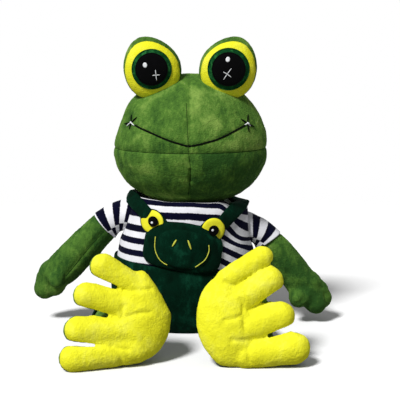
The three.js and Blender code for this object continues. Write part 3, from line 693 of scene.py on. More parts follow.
def stripeMaterial(name, middle):
    material, tree, shader = startMaterial(name, 0.9, 0.03, (1, 1, 1, 1))
    stripes = tree.nodes.new("ShaderNodeGroup")
    stripes.node_tree = stripeGroup
    stripes.inputs["Middle"].default_value = middle
    pile = addPile(tree, *stripeSet["pile"])
    mixed = addNode(tree, "ShaderNodeMix", data_type="RGBA")
    tree.links.new(stripes.outputs["Band"], mixed.inputs["Factor"])
    for socket, yarn in (("A", "white"), ("B", "navy")):
        colour = rampOf(tree, pile.outputs["Shade"], stripeSet["stops"], stripeSet[yarn])
        tree.links.new(colour, mixed.inputs[socket])
    tree.links.new(mixed.outputs["Result"], shader.inputs["Base Color"])
    relief = addNode(tree, "ShaderNodeBump", {
        "Height": stripes.outputs["Height"], "Strength": 0.4, "Distance": 0.5 * mm})
    tree.links.new(relief.outputs["Normal"], shader.inputs["Normal"])
    return material


finishSet = {
    # stops and colours of the ramp, then size of patches and tufts, contrast, bump and its depth, sheen
    "greenPlush": (
        (0.2, 0.5, 0.82), ((46, 83, 33), (84, 124, 48), (134, 166, 78)), 24, 1.3, 2.0, 0.9, 1.4, 0.25),
    "yellowPlush": (
        (0.2, 0.5, 0.8), ((224, 220, 30), (238, 236, 48), (246, 245, 92)), 24, 1.3, 1.1, 0.8, 0.9, 0.15),
    "greenVelour": (
        (0.22, 0.55, 0.85), ((0, 20, 9), (1, 35, 21), (16, 72, 50)), 20, 1.0, 1.8, 0.6, 0.9, 0.1),
    "yellowFelt": (
        (0.2, 0.6, 0.9), ((222, 214, 34), (240, 236, 56), (248, 246, 100)), 9, 0.9, 1.4, 0.5, 0.5, 0.1),
    "irisFelt": ((0.2, 0.55, 0.9), ((4, 46, 20), (12, 70, 32), (52, 124, 62)), 4, 0.8, 2.0, 0.6, 0.6, 0.15),
    "blackFelt": ((0.2, 0.6, 0.9), ((1, 1, 1), (3, 3, 4), (10, 10, 12)), 5, 0.8, 1.4, 0.4, 0.4, 0.0),
    "whiteThread": (
        (0.2, 0.6, 0.9), ((206, 210, 212), (234, 236, 238), (248, 248, 248)), 3, 0.5, 1.2, 0.4, 0.3, 0.1),
    "darkThread": ((0.2, 0.6, 0.9), ((2, 6, 2), (6, 12, 6), (22, 32, 18)), 3, 0.5, 1.2, 0.4, 0.3, 0.0),
    # dark green thread in the seams: painted shade of their creases
    "seamShadeThread": ((0.2, 0.6, 0.9), ((18, 38, 12), (30, 58, 18), (84, 120, 44)), 5, 0.8, 2.0, 0.4, 0.3, 0.1),
    "paleThread": (
        (0.2, 0.6, 0.9), ((176, 180, 60), (212, 214, 84), (232, 232, 124)), 3, 0.5, 1.2, 0.4, 0.3, 0.1),
}
stripeSet = {
    "stops": (0.1, 0.5, 0.9), "white": ((214, 214, 222), (236, 236, 241), (246, 246, 249)),
    "navy": ((2, 2, 16), (4, 5, 28), (16, 18, 52)), "pile": (16, 0.9, 1.0),
    "middle": {"bodyStripes": 82.9, "leftSleeveStripes": 8.7, "rightSleeveStripes": 2.3},
}
finishes = {name: pileMaterial(name, *values) for name, values in finishSet.items()}
for name, middle in stripeSet["middle"].items():
    finishes[name] = stripeMaterial(name, middle)
print("materials are made")


# Torso

bodySet = {"inside": 0.4, "room": 2.6, "armSeat": 1.6, "legSeat": 1.2, "bottom": 5.2}
shirtSet = {
    "hem": 56, "neckRadius": 20, "folds": (26, 2.6), "droopFrom": 30, "droopSlope": 0.5, "thickness": 1.5,
    "shoulderSag": 4.0, "sagFrom": (34, 84), "sagOver": (26, 22),
    "strapSag": 0.9, "strapMiddle": 58, "strapWidth": 14,
    "stripeShift": 3.6, "shiftHeights": (108, 122),
}
trousersSet = {"waist": 71.5, "folds": (24, 3.0), "thickness": 2.3}


def torsoRows(offset, steps=90):  # the torso's outline as rows of radius and height
    places = [Vector((r * torsoSet["halfWidth"], h * torsoSet["height"], 0)) for r, h in torsoSet["outline"]]
    line = smoothLine(places, steps)
    rows = []
    for i, place in enumerate(line):
        along = line[min(i + 1, steps)] - line[max(i - 1, 0)]
        outward = Vector((along.y, -along.x, 0)).normalized()
        rows.append((max(0, place.x + outward.x * offset), place.y + outward.y * offset))
    rows[0], rows[-1] = (0, rows[0][1]), (0, rows[-1][1])
    return rows


def underHead(points, gap):  # the torso's top makes room for the head that sits in it
    hollow = headSet["hollow"]
    across = (points[:, 0] - neckPoint.x) / (headSet["halfWidth"] + hollow["across"])
    deep = points[:, 1] / (headSet["halfDepth"] + hollow["deep"])
    out = np.clip(np.hypot(across, deep), 0, 0.999)
    depth = (1 - out ** hollow["fullness"]) ** (1 / hollow["fullness"])
    floor = neckPoint.z + headSet["beltRise"] - headSet["chin"] * depth - gap
    soft = hollow["edge"]
    lowered = -soft * np.logaddexp(-points[:, 2] / soft, -floor / soft)
    moved = points.copy()
    moved[:, 2] = np.where(out < 0.998, lowered, points[:, 2])
    return moved


def seatArms(points, gap):  # flat places at the shoulders where the arms are sewn on
    for name, side in sides.items():
        local = carry(armFrames[name].inverted(), points)
        away = np.hypot(local[:, 1], local[:, 2])
        limit = np.maximum(0, away - armSet["halfHeight"] - armSet["seatFlat"]) * armSet["seatSlope"] - gap
        out = np.minimum(local[:, 0] * side, limit)
        local[:, 0] = np.where(away < armSet["seatReach"], out * side, local[:, 0])
        points = carry(armFrames[name], local)
    return points


def outsideBall(points, middle, radius):  # moves what lies inside a ball out to its surface
    away = points - np.array(middle)
    reach = np.linalg.norm(away, axis=1, keepdims=True)
    return np.where(reach < radius, np.array(middle) + away * (radius / np.maximum(reach, 1e-6)), points)


def seatLegs(points, gap):
    for hip in hips.values():
        points = outsideBall(points, hip, legSet["radius"] + legSet["seat"] + gap)
    return points


def onFloor(piece):
    points = pointsOf(piece)
    points[:, 2] = np.maximum(points[:, 2], 0)
    movePoints(piece, points)


def torsoPart(name, offset, low, high, around=132, neck=0.0):
    rows = [(r, z) for r, z in torsoRows(offset) if low <= z <= high and not (z > 100 and r < neck)]
    lengths = np.cumsum([0] + [math.hypot(b[0] - a[0], b[1] - a[1]) for a, b in zip(rows, rows[1:])])
    angles = anglesAround(around)
    share = torsoSet["halfDepth"] / torsoSet["halfWidth"]
    rings = [np.column_stack((r * np.cos(angles), r * share * np.sin(angles), np.full(around, z)))
             for r, z in rows]
    piece = addMesh(name, carry(torsoFrame, np.vstack(rings)), ringFaces(len(rows), around, False))
    return piece, np.repeat(lengths + rows[0][1], around)


def sagShoulder(piece):  # the left shoulder hangs lower than the right one
    points = pointsOf(piece)
    out, up = ((points[:, axis] - start) / over for axis, start, over in zip(
        (0, 2), shirtSet["sagFrom"], shirtSet["sagOver"]))
    share = np.clip(out, 0, 1) * np.clip(up, 0, 1)
    fromStrap = (points[:, 0] - shirtSet["strapMiddle"]) / shirtSet["strapWidth"]
    near = 1 + shirtSet["strapSag"] * np.exp(-(fromStrap ** 2))
    points[:, 2] -= shirtSet["shoulderSag"] * near * share * share * (3 - 2 * share)
    movePoints(piece, points)


def makeBody():
    rows = torsoRows(-bodySet["inside"])
    points, faces = turned(rows, torsoSet["halfDepth"] / torsoSet["halfWidth"], 96, torsoFrame)
    points = underHead(points, headSet["room"] + bodySet["room"])
    points = seatLegs(seatArms(points, bodySet["armSeat"]), bodySet["legSeat"])
    points[:, 2] = np.maximum(points[:, 2], bodySet["bottom"])
    body = addMesh("bodyPlush", points, faces)
    sagShoulder(body)
    finishPiece(body, "torso", "greenPlush", ["torso_skin", "torso_stuffing", "pellet_bag"])


def stripeShift(height):  # the stripes sit a little higher on the chest
    return np.interp(height, shirtSet["shiftHeights"], [0, shirtSet["stripeShift"]])


def makeShirt():
    shirt, along = torsoPart("shirtBody", layers["shirt"], shirtSet["hem"], 200, neck=shirtSet["neckRadius"])
    local = carry(torsoFrame.inverted(), pointsOf(shirt))
    droop = shirtSet["droopSlope"] * np.maximum(0, local[:, 0] - shirtSet["droopFrom"])
    level = -math.sin(torsoSet["lean"]) * np.minimum(0, local[:, 0])
    along = along + np.where(local[:, 1] < 10, droop, 0) + level - stripeShift(pointsOf(shirt)[:, 2])
    keepValues(shirt, "alongGarment", along)
    movePoints(shirt, seatArms(underHead(pointsOf(shirt), headSet["room"]), 0.4))
    sagShoulder(shirt)
    roughen(shirt, *shirtSet["folds"])
    modify(shirt, "SOLIDIFY", thickness=shirtSet["thickness"] * mm, offset=-1)
    subdivide(shirt)
    finishPiece(shirt, "torso", "bodyStripes", ["shirt_body"])
    return shirt


def makeTrousers():
    trousers, _ = torsoPart("overallsTrousers", layers["overalls"], -10, trousersSet["waist"])
    movePoints(trousers, seatLegs(pointsOf(trousers), 0.3))
    onFloor(trousers)
    resting = np.nonzero(pointsOf(trousers)[:, 2] < 1)[0]
    roughen(trousers, *trousersSet["folds"])
    points = pointsOf(trousers)
    points[resting, 2] = 0
    movePoints(trousers, points)
    onFloor(trousers)
    modify(trousers, "SOLIDIFY", thickness=trousersSet["thickness"] * mm, offset=-1)
    subdivide(trousers)
    onFloor(trousers)
    finishPiece(trousers, "torso", "greenVelour", ["overalls_trousers"])
    return trousers


makeBody()
shirt = makeShirt()
trousers = makeTrousers()
print("torso is dressed")


# Head

def headForm(around, steps):
    grow = headSet["grow"]
    widths = [headSet[key] + grow for key in ("halfWidth", "chin", "crown")]
    rows = superEgg(*widths, 2.2, 2, steps)
    share = (headSet["halfDepth"] + grow) / (headSet["halfWidth"] + grow)
    points, faces = turned(rows, share, around, headFrame @ shiftBy(0, 0, headSet["beltRise"]))
    out = np.hypot(points[:, 0] - neckPoint.x, points[:, 1])
    above = points[:, 2] > neckPoint.z + headSet["beltRise"]
    points[:, 2] += headSet["peak"] * np.exp(-((out / headSet["peakWidth"]) ** 2)) * above
    rise = np.clip((points[:, 2] - neckPoint.z - headSet["beltRise"]) / headSet["cheekHeight"], 0, 1)
    outer = np.clip((neckPoint.x - points[:, 0] - headSet["cheekFrom"]) / 40, 0, 1)
    points[:, 0] += headSet["rightCheek"] * np.sin(rise * math.pi) * outer
    return points, faces


def headSeams(piece):  # each point's distance to the belt seam and to the seam down the face
    points = pointsOf(piece)
    fromBelt = np.abs(points[:, 2] - neckPoint.z - headSet["beltRise"])
    fromMiddle = np.where(points[:, 1] < 0, np.abs(points[:, 0] - neckPoint.x), 99)
    return np.minimum(fromBelt, fromMiddle)


def keepPanels(piece):  # how light each sewn panel looks: partly as the pile of each lies its own way, and on the lower left panel painted shade
    points = pointsOf(piece)
    right = np.clip((points[:, 0] - neckPoint.x) / 3 + 0.5, 0, 1)
    low = np.clip((neckPoint.z + headSet["beltRise"] - points[:, 2]) / 2 + 0.5, 0, 1)
    panels = headSet["panels"]
    upper = panels["upperRight"] + (panels["upperLeft"] - panels["upperRight"]) * right
    lower = panels["lowerRight"] + (panels["lowerLeft"] - panels["lowerRight"]) * right
    keepValues(piece, "pileLeanAndShade", upper + (lower - upper) * low)


def seamShadeThread(name, surface, places, radius, body):  # a sunk seam through places of the picture, drawn as a dark thread: painted shade of its crease
    line = seenLine(surface, places, 70, -0.15)
    thread(name, line, radius, body, "seamShadeThread", stitch=2.4)


def makeNeck():
    neck = addMesh("neckPlush", *turned(neckRows, 1, 48, headFrame))
    subdivide(neck)
    roughen(neck, 3, 0.5)
    finishPiece(neck, "neck", "greenPlush", ["neck_plug"])


def makeHead():
    head = addMesh("headPlush", *headForm(96, 60))
    remesh(head, headSet["voxel"])
    held = drawIn(head, headSeams(head), headSet["seamDepth"], headSet["seamWidth"])
    stuff(head, held, headSet["pressure"], headSet["puff"])
    subdivide(head)
    roughen(head, *headSet["fill"])
    subdivide(head)
    drawIn(head, headSeams(head), headSet["beltDepth"], headSet["beltDepth"])
    crease(head, [headSet["chinTuck"]], 1.6, 1.6)
    crease(head, [mouthSet["marks"]], 0.8, 1.6)
    keepPanels(head)
    roughen(head, *headSet["tufts"])
    finishPiece(head, "head", "greenPlush", ["head_upper_skin", "head_lower_skin", "head_stuffing"])
    return surfaceOf(head)


mouthSet = {
    "marks": [(135, 125.2), (140.6, 128.3), (150.8, 132.9), (161, 137.4), (171.2, 141.5), (181.4, 144.6),
              (188.6, 146.1), (196.7, 145.1), (206.9, 142.6), (217, 139.5), (227.3, 134.9), (237.6, 129.3),
              (245.2, 125.2)],
    "radius": 0.98, "knot": (0.9, 0, -0.4), "knotRadii": (1.1, 1.0),
    "dark": ("darkThread", 8, 0.7, 0.75),  # material, steps, lift and radius
    "light": ("whiteThread", 6, 1.1, 0.6),
    "stars": {
        "right": ((131.6, 122.6), [(131.7, 114.8), (137.2, 117.4), (125, 123.8), (129.8, 129.2)]),
        "left": ((247, 123.4), [(247.8, 114.6), (240.8, 119.4), (254.2, 127.1), (248.7, 132)]),
    },
    "pale": {"right": [(127.6, 126.2), (134.6, 125.9)], "left": [(243.8, 124.6), (249.8, 126.4)]},
}


def stitchStar(label, surface, middle, ends, material, steps, lift, radius):
    for i, end in enumerate(ends):
        line = seenLine(surface, [middle, end], steps, lift)
        thread(f"{label}{i}", line, radius, "head", material, taper=True)


def makeMouth(surface):
    line = seenLine(surface, mouthSet["marks"], 90, 0.35)
    thread("mouthThread", line, mouthSet["radius"], "head", "darkThread", stitch=4)
    for name, (middle, ends) in mouthSet["stars"].items():
        stitchStar(f"mouthStar{name.title()}", surface, middle, ends, *mouthSet["dark"])
        stitchStar(f"mouthPale{name.title()}", surface, middle, mouthSet["pale"][name], *mouthSet["light"])
        spot = seenAt(surface, *middle, 0.9)
        knot = lobe(spot, spot + Vector(mouthSet["knot"]), mouthSet["knotRadii"], Matrix.Identity(4))
        finishPiece(addMesh(f"mouthKnot{name.title()}", *knot), "head", "whiteThread")


def beltThread(steps=240, far=120):  # the seam all round the head, drawn as a dark thread: painted shade of its crease
    line = []
    for i in range(steps + 1):
        angle = i / steps * 2 * math.pi
        out = Vector((math.cos(angle) * far, math.sin(angle) * far, 0))
        middle = Vector((neckPoint.x, 0, neckPoint.z + headSet["beltRise"]))
        line.append(inTo(headSurface, middle + out, middle, -0.1))
    thread("beltSeamShade", line, headSet["beltRadius"], "head", "seamShadeThread", stitch=2.4)


makeNeck()
headSurface = makeHead()
beltThread()
for name, places in headSet["seams"].items():
    seamShadeThread(name, headSurface, places, headSet["faceRadius"], "head")
makeMouth(headSurface)
print("head is stuffed")


# Eye pods

eyeSet = {
    "patches": {"iris": (0.9, 1.1, "irisFelt"), "pupil": (2.1, 1.1, "blackFelt")},  # lift and rise
    "threads": {"iris": (1.2, 0.65, "irisFelt"), "pupil": (2.4, 0.5, "blackFelt")},  # lift and radius
    "stitch": ("whiteThread", 6, 0.35, 0.42),  # of the star: material, steps, lift and radius
    "highlight": {"right": ((145, 65.2), 2.2, 2.7), "left": ((227.9, 59.5), 2.2, 2.7)},
    "star": {
        "right": ((156, 75.1), [(155.4, 69.9), (156.6, 80.4), (152.4, 75.4), (159.8, 74.9)]),
        "left": ((227.2, 74.1), [(231.4, 68.4), (223.6, 79.6), (223.4, 72), (231.2, 77.2)]),
    },
}


def podFront(x, z, lift):  # how far forward the pod's face is, in its own frame
    rows = superEgg(*(podSet[key] for key in ("halfWidth", "down", "up", "fullFace", "fullTop")), 60)
    radius = np.interp(z, [row[1] for row in rows], [row[0] for row in rows])
    inside = max(0.0, 1 - (x / max(radius, 1e-6)) ** 2)
    return -(radius * podSet["halfDepth"] / podSet["halfWidth"]) * math.sqrt(inside) - lift


def makePod(name):
    place = podFrames[name]
    grow = podSet["grow"]
    widths = [podSet[key] + grow for key in ("halfWidth", "down", "up")]
    rows = superEgg(*widths, podSet["fullBottom"], podSet["fullTop"], 60)
    points, faces = turned(rows, podSet["halfDepth"] / podSet["halfWidth"], 72, Matrix.Identity(4))
    points[:, 0] += sides[name] * podSet["topShift"] * np.clip(points[:, 2] / podSet["up"], 0, 1) ** 2
    points = carry(place, points)
    pod = addMesh(f"pod{name.title()}", points, faces)
    remesh(pod, podSet["voxel"])
    seamMiddle = place @ Vector((0, -podSet["seamBack"], 0))
    x, y, z = podSet["seamTilt"]
    seamFacing = (place.to_3x3() @ Vector((sides[name] * x, y, z))).normalized()
    fromSeam = np.abs((pointsOf(pod) - np.array(seamMiddle)) @ np.array(seamFacing))
    held = drawIn(pod, fromSeam, podSet["seamDepth"], podSet["seamWidth"])
    stuff(pod, held, podSet["pressure"], podSet["puff"])
    subdivide(pod)
    roughen(pod, *podSet["tufts"])
    front, back = splitAt(pod, seamMiddle, seamFacing, f"eyeFront{name.title()}", f"eyeBack{name.title()}")
    finishPiece(front, "head", "yellowPlush", [f"eye_front_{name}", f"eye_stuffing_{name}"])
    finishPiece(back, "head", "greenPlush", [f"eye_pod_{name}"])
    for patch, (lift, rise, felt) in eyeSet["patches"].items():
        radius = podSet[f"{patch}Radius"][name]
        disc = dome(f"{patch}{name.title()}", podFront, place, lift, rise, lambda angle: radius)
        finishPiece(disc, "head", felt, [f"eye_{patch}_{name}"])
    return surfaceOf(disc)


def stitchRing(patch, eye, lift, size, material, steps=120):  # thread around a patch of the eye
    radius = podSet[f"{patch}Radius"][eye]
    line = []
    for i in range(steps + 1):
        angle = i / steps * 2 * math.pi
        x, z = radius * math.cos(angle), radius * math.sin(angle)
        line.append(podFrames[eye] @ Vector((x, podFront(x, z, lift), z)))
    thread(f"{patch}Thread{eye.title()}", line, size, "head", material, stitch=2.2)


def makeEye(name):
    surface = makePod(name)
    for patch, values in eyeSet["threads"].items():
        stitchRing(patch, name, *values)
    middle, halfWidth, halfHeight = eyeSet["highlight"][name]
    spot = podFrames[name].inverted() @ seenAt(surface, *middle)

    def spotFront(x, z, lift):
        return podFront(x + spot.x, z + spot.z, lift)
    outline = superRound(halfWidth, halfHeight, 2)
    place = podFrames[name] @ shiftBy(spot.x, 0, spot.z)
    highlight = dome(f"highlight{name.title()}", spotFront, place, 3.2, 0.7, outline, rings=6, around=32)
    finishPiece(highlight, "head", "whiteThread")
    middle, ends = eyeSet["star"][name]
    stitchStar(f"eyeStar{name.title()}", surface, middle, ends, *eyeSet["stitch"])


for name in sides:
    makeEye(name)
print("eyes are made")


# Arms

handSet = {  # creases between the finger lobes, as places of the picture
    "right": [
        [(50.5, 272), (48.5, 279), (51, 286), (56.5, 288.8)], [(56.5, 288.8), (64.5, 280.4), (66, 276)],
        [(66, 276), (78.6, 260.6), (93, 243), (103.5, 231)],
    ],
    "left": [
        [(299, 285.3), (304.9, 290.8), (304.2, 299), (298.5, 303)], [(286, 281), (284.9, 288), (289.5, 297)],
        [(325, 292.4), (326.3, 300.3), (325.8, 307.3)], [(308, 286), (325, 287.7)],
    ],
}
armSeams = {"right": [(66, 276), (78.6, 260.6), (93, 243), (104, 231.5)]}  # a dark thread along this seam, painted shade of its crease; none shows on the left arm
sleeveSet = {
    "folds": (14, 1.4), "underShift": 6.2, "underFrom": -0.35, "thickness": 1.4, "around": 72,
    "turnsOver": 16,
}


def armSlope(name, distance):
    bend = min(1, max(0, distance / (armSet["length"] * armSet["bend"])))
    first, last = armSet["firstSlope"][name], armSet["lastSlope"][name]
    return armSet["tilt"] + first + (last - first) * math.sin(bend * quarterTurn)


def armPoint(name, distance, steps=24):
    x = z = 0.0
    for i in range(steps):
        slope = armSlope(name, (i + 0.5) / steps * max(distance, 0))
        x += math.cos(slope) * distance / steps
        z -= math.sin(slope) * distance / steps
    return Vector((sides[name] * x, 0, z))


def armRing(name, distance, share, grow=0.0):
    slope = armSlope(name, distance) * min(1, max(0, distance / armSet["cuff"][name]))
    along = Vector((sides[name] * math.cos(slope), 0, -math.sin(slope)))
    across = Vector((0, 1, 0))
    table = armSet["thickness"]
    size = np.interp(distance / armSet["length"], [t[0] for t in table], [t[1] for t in table]) * share
    return (armPoint(name, distance), across, along.cross(across),
            armSet["halfDepth"] * size + grow, armSet["halfHeight"] * size + grow)


def makeArm(name):
    side = sides[name]
    place = armFrames[name]
    rings = [armRing(name, d, s, armSet["grow"][name])
             for d, s in roundEnds(3, armSet["palmEnd"], 0, armSet["halfHeight"], 3)]
    forms = [tube(rings, 40, place)]
    wrist = place @ armPoint(name, armSet["wrist"])
    for (u, v), depth, radius in armSet["fingers"][name]:
        tip = placeAt(u, v, depth)
        root = wrist + Vector(((tip.x - wrist.x) * 0.2, depth * 0.8, (tip.z - wrist.z) * 0.2))
        forms.append(lobe(root, tip, (radius, radius), Matrix.Identity(4)))
    arm = addMesh(f"armPlush{name.title()}", *joinForms(forms))
    remesh(arm, armSet["voxel"])
    soften(arm, 4)
    if name == "left":
        sagShoulder(arm)
    sewn = crease(arm, handSet[name], *armSet["creased"])
    shoulder = np.nonzero(carry(place.inverted(), pointsOf(arm))[:, 0] * side < armSet["sewnTo"])[0]
    stuff(arm, np.union1d(sewn, shoulder), armSet["pressure"], armSet["puff"])
    subdivide(arm)
    roughen(arm, *armSet["fill"])
    roughen(arm, *armSet["tufts"])
    # the whole arm is drawn darker: painted shade
    keepValues(arm, "pileLeanAndShade", np.full(len(arm.data.vertices), armSet["lean"]))
    finishPiece(arm, f"arm_{name}", "greenPlush", [f"arm_skin_{name}", f"arm_stuffing_{name}"])
    # a dark thread in the arm's seam: painted shade of its crease
    if name in armSeams:
        seamShadeThread(f"armSeam{name.title()}0", surfaceOf(arm), armSeams[name], armSet["seamRadius"],
                   f"arm_{name}")


def makeSleeve(name):
    place = armFrames[name]
    around = sleeveSet["around"]
    steps = np.linspace(-1.5, armSet["cuff"][name], 22)
    rings = [armRing(name, d, 1, layers["shirt"]) for d in steps]
    points, _ = tube(rings, around, place)
    sleeve = addMesh(f"sleeve{name.title()}", points[:-2], ringFaces(len(rings), around, False))
    up = np.tile(np.sin(anglesAround(around)), len(rings)) * sides[name]
    shift = np.where(up < sleeveSet["underFrom"], sleeveSet["underShift"], 0)
    keepValues(sleeve, "alongGarment", np.repeat(steps, around) + shift)
    roughen(sleeve, *sleeveSet["folds"])
    if name == "left":
        sagShoulder(sleeve)
    modify(sleeve, "SOLIDIFY", thickness=sleeveSet["thickness"] * mm, offset=-1)
    subdivide(sleeve)
    outer = place @ Vector((sides[name] * sleeveSet["turnsOver"], 0, 0))
    finishPiece(sleeve, ("torso", f"arm_{name}", place.translation, outer), f"{name}SleeveStripes",
                [f"sleeve_{name}"])


for name in sides:
    makeArm(name)
    makeSleeve(name)
print("arms are made")


# Legs

def legPoint(name, share):
    point = (ankles[name] - hips[name]) * share
    point.x += sides[name] * legSet["bow"] * math.sin(share * math.pi)
    return point


def legRings(name, grow, start, end):
    roundStart = legSet["radius"] if start < 0 else 0
    roundEnd = legSet["ankleRadius"] if end > legLength else 0
    rings = []
    for distance, share in roundEnds(start, end, roundStart, roundEnd, 2.5):
        along = min(1, max(0, distance / legLength))
        centre = legPoint(name, along)
        centre.y -= distance - along * legLength
        radius = (legSet["radius"] + (legSet["ankleRadius"] - legSet["radius"]) * along) * share + grow
        rings.append((centre, Vector((1, 0, 0)), Vector((0, 0, 1)), radius, radius))
    return rings


def makeLeg(name):
    place = Matrix.Translation(hips[name])
    rings = legRings(name, -legSet["inside"], -legSet["radius"], legLength + legSet["ankleRadius"])
    leg = addMesh(f"legPlush{name.title()}", *tube(rings, 56, place))
    roughen(leg, *legSet["fill"])
    subdivide(leg)
    roughen(leg, *legSet["tufts"])
    finishPiece(leg, f"leg_{name}", "greenPlush", [f"leg_skin_{name}", f"leg_stuffing_{name}"])

    rings = legRings(name, legSet["trouserGrow"], -legSet["radius"], legSet["trouserLength"])
    points, _ = tube(rings, 72, place)
    trouserLeg = addMesh(f"trouserLeg{name.title()}", points[:-2], ringFaces(len(rings), 72, False))
    roughen(trouserLeg, *legSet["trouserFolds"])
    modify(trouserLeg, "SOLIDIFY", thickness=legSet["thickness"] * mm, offset=-1)
    subdivide(trouserLeg)
    finishPiece(trouserLeg, f"leg_{name}", "greenVelour", [f"trouser_leg_{name}"])


for name in sides:
    makeLeg(name)
print("legs are made")


# Feet

creaseSet = {  # where the sole is drawn in from the gaps between the toes, as places of the picture
    "right": [
        [(127.7, 290.9), (139, 290.4), (150.9, 289.1)],
        [(120.5, 319), (125.9, 316.8), (139.3, 313.2), (150.9, 312.3)], [(123.2, 306), (122.3, 316.8)],
        [(111.6, 345.8), (117.5, 350.5), (120.5, 356), (121.4, 364)], [(112.5, 347), (127.7, 349.4)],
    ],
    "left": [
        [(236.4, 285.5), (229.3, 284.6), (224.8, 282)], [(243.6, 315), (234.6, 318.6), (224.8, 320.4)],
        [(243.6, 313.2), (243.6, 302.5), (240.9, 299.8)], [(243.6, 316.8), (245.4, 329.3), (254.3, 339.1)],
        [(254.3, 339.1), (248.9, 347.1), (248.9, 358.8), (250.7, 363.2)],
        [(254.3, 340), (240, 340.9), (232.9, 340)],
    ],
}


def footForm(name):
    side = sides[name]
    grow = footSet["grow"]
    middle = Vector((-side * footSet["inward"], -footSet["forward"], footSet["rise"][name]))
    place = footFrames[name] @ Matrix.Translation(middle)
    high = footSet["palmHalfHeight"] + grow
    wide = footSet["palmHalfWidth"][name] + grow
    points, faces = turned(superEgg(wide, high, high, 2, 1.9, 48), (footSet["halfDepth"] + grow) / wide, 64,
                           Matrix.Identity(4))
    inner = (points[:, 0] * side < 0) * np.clip(points[:, 2] / high, 0, 1)
    points[:, 0] *= 1 - footSet["innerTaper"][name] * inner
    forms = [(carry(place, points), faces)]
    for root, tip, radii in footSet["toes"][name]:
        ends = [Vector((side * x, 0, z)) for x, z in (root, tip)]
        forms.append(lobe(*ends, [radius + grow for radius in radii], place))
    return joinForms(forms)


def cutGaps(foot, name):  # opens the gaps between the toes along the lines of sight
    place = footFrames[name]
    facing = (place.to_3x3() @ Vector((0, 1, 0))).normalized()
    level = place @ Vector((0, -footSet["forward"] - footSet["gapLevel"], 0))
    gaps = []
    for mouth, root, wide, narrow in footSet["gaps"][name]:
        sight = sightLine(*root)
        outer, inner = [
            cameraPlace + aim * ((level - cameraPlace).dot(facing) / aim.dot(facing))
            for aim in (sightLine(*mouth), sight)]
        along = (inner - outer).normalized()
        across = along.cross(sight).normalized()
        corners = []
        for end, width in ((outer - along * footSet["gapPast"], wide), (inner, narrow)):
            for depth in (-footSet["gapDepth"], footSet["gapDepth"]):
                for sign in (-0.5, 0.5):
                    corners.append(end + sight * depth + across * sign * width)
        plate = addMesh("gap", corners, [
            (0, 1, 3, 2), (4, 6, 7, 5), (0, 4, 5, 1), (2, 3, 7, 6), (0, 2, 6, 4), (1, 5, 7, 3)])
        modify(foot, "BOOLEAN", operation="DIFFERENCE", object=plate, solver="EXACT")
        bpy.data.objects.remove(plate)
        gaps.append((inner, along, across, wide))
    return gaps


def besideGap(points, inner, along, across, wide):  # which points form the walls of a gap
    away = points - np.array(inner)
    out = -away @ np.array(along)
    beside = np.abs(away @ np.array(across)) < wide * 0.5 + footSet["wall"]
    return np.nonzero((out > -2) & (out < footSet["gapLength"]) & beside)[0]


def makeFoot(name):
    place = footFrames[name]
    foot = addMesh(f"foot{name.title()}", *footForm(name))
    remesh(foot, footSet["voxels"][0])
    gaps = cutGaps(foot, name)
    remesh(foot, footSet["voxels"][1])
    soften(foot, 1)
    walls = [besideGap(pointsOf(foot), *gap) for gap in gaps]
    onFloor(foot)
    fromSeam = np.abs(carry(place.inverted(), pointsOf(foot))[:, 1] + footSet["forward"])
    around = drawIn(foot, fromSeam, footSet["seamDepth"], footSet["seamWidth"])
    palm = crease(foot, creaseSet[name], *footSet["creased"])
    held = functools.reduce(np.union1d, [around, palm, *walls])
    stuff(foot, held, footSet["pressure"], footSet["puff"])
    ankleRadius = legSet["ankleRadius"] + footSet["ankleRoom"]
    movePoints(foot, outsideBall(pointsOf(foot), ankles[name], ankleRadius))
    subdivide(foot)
    roughen(foot, *footSet["fill"])
    roughen(foot, *footSet["tufts"])
    onFloor(foot)
    seamMiddle = place @ Vector((0, -footSet["forward"] + footSet["seamForward"], 0))
    seamFacing = (place.to_3x3() @ Vector((0, 1, 0))).normalized()
    labels = [f"footSole{name.title()}", f"footInstep{name.title()}"]
    sole, instep = splitAt(foot, seamMiddle, seamFacing, *labels)
    finishPiece(sole, f"foot_{name}", "yellowPlush", [f"foot_sole_{name}", f"foot_stuffing_{name}"])
    finishPiece(instep, f"foot_{name}", "greenPlush", [f"foot_instep_{name}"])


for name in sides:
    makeFoot(name)
print("feet are made")


# Bib and straps

bibSet = {
    "halfWidth": 40, "halfHeight": 24, "fullness": {"upper": 2.4, "lower": 5}, "middle": 92, "shift": -4,
    "roll": rad(-3), "eyeRadius": 12.5, "pupilRadius": 5.2, "dotRadius": 1.25,
    "muzzleHalfWidth": 27.5, "muzzleHalfHeight": 19.5, "muzzleFullness": 2.6, "muzzleDrop": 1.5,
    "eye": {"right": (152, 222), "left": (213.3, 230)},
    "pupil": {"right": (153.1, 221.1), "left": (213.8, 230.2)},
    "lifts": {"backing": (3.2, 2.2), "eye": (5.4, 1.2), "face": (4.8, 3.8), "pupil": (8.6, 1),
              "dot": (9.6, 0.5), "muzzle": (7.6, 3.4)},
    "smile": {
        "right": [(155.6, 236.6), (155, 247), (156.9, 254.6), (161.7, 261.3), (167.4, 264.7)],
        "left": [(208.6, 245.1), (208.6, 251.8), (204.3, 260.4), (195.2, 267.1)],
    },
    "nostril": {"right": [(176.5, 239.8), (172.4, 246.5)], "left": [(188, 240.3), (191.1, 249.4)]},
    "dot": {"right": (152, 222.1), "left": (212.7, 229.7)},
    "fill": (9, 0.8), "smileRadius": 0.55, "nostrilRadius": 1.0,
}
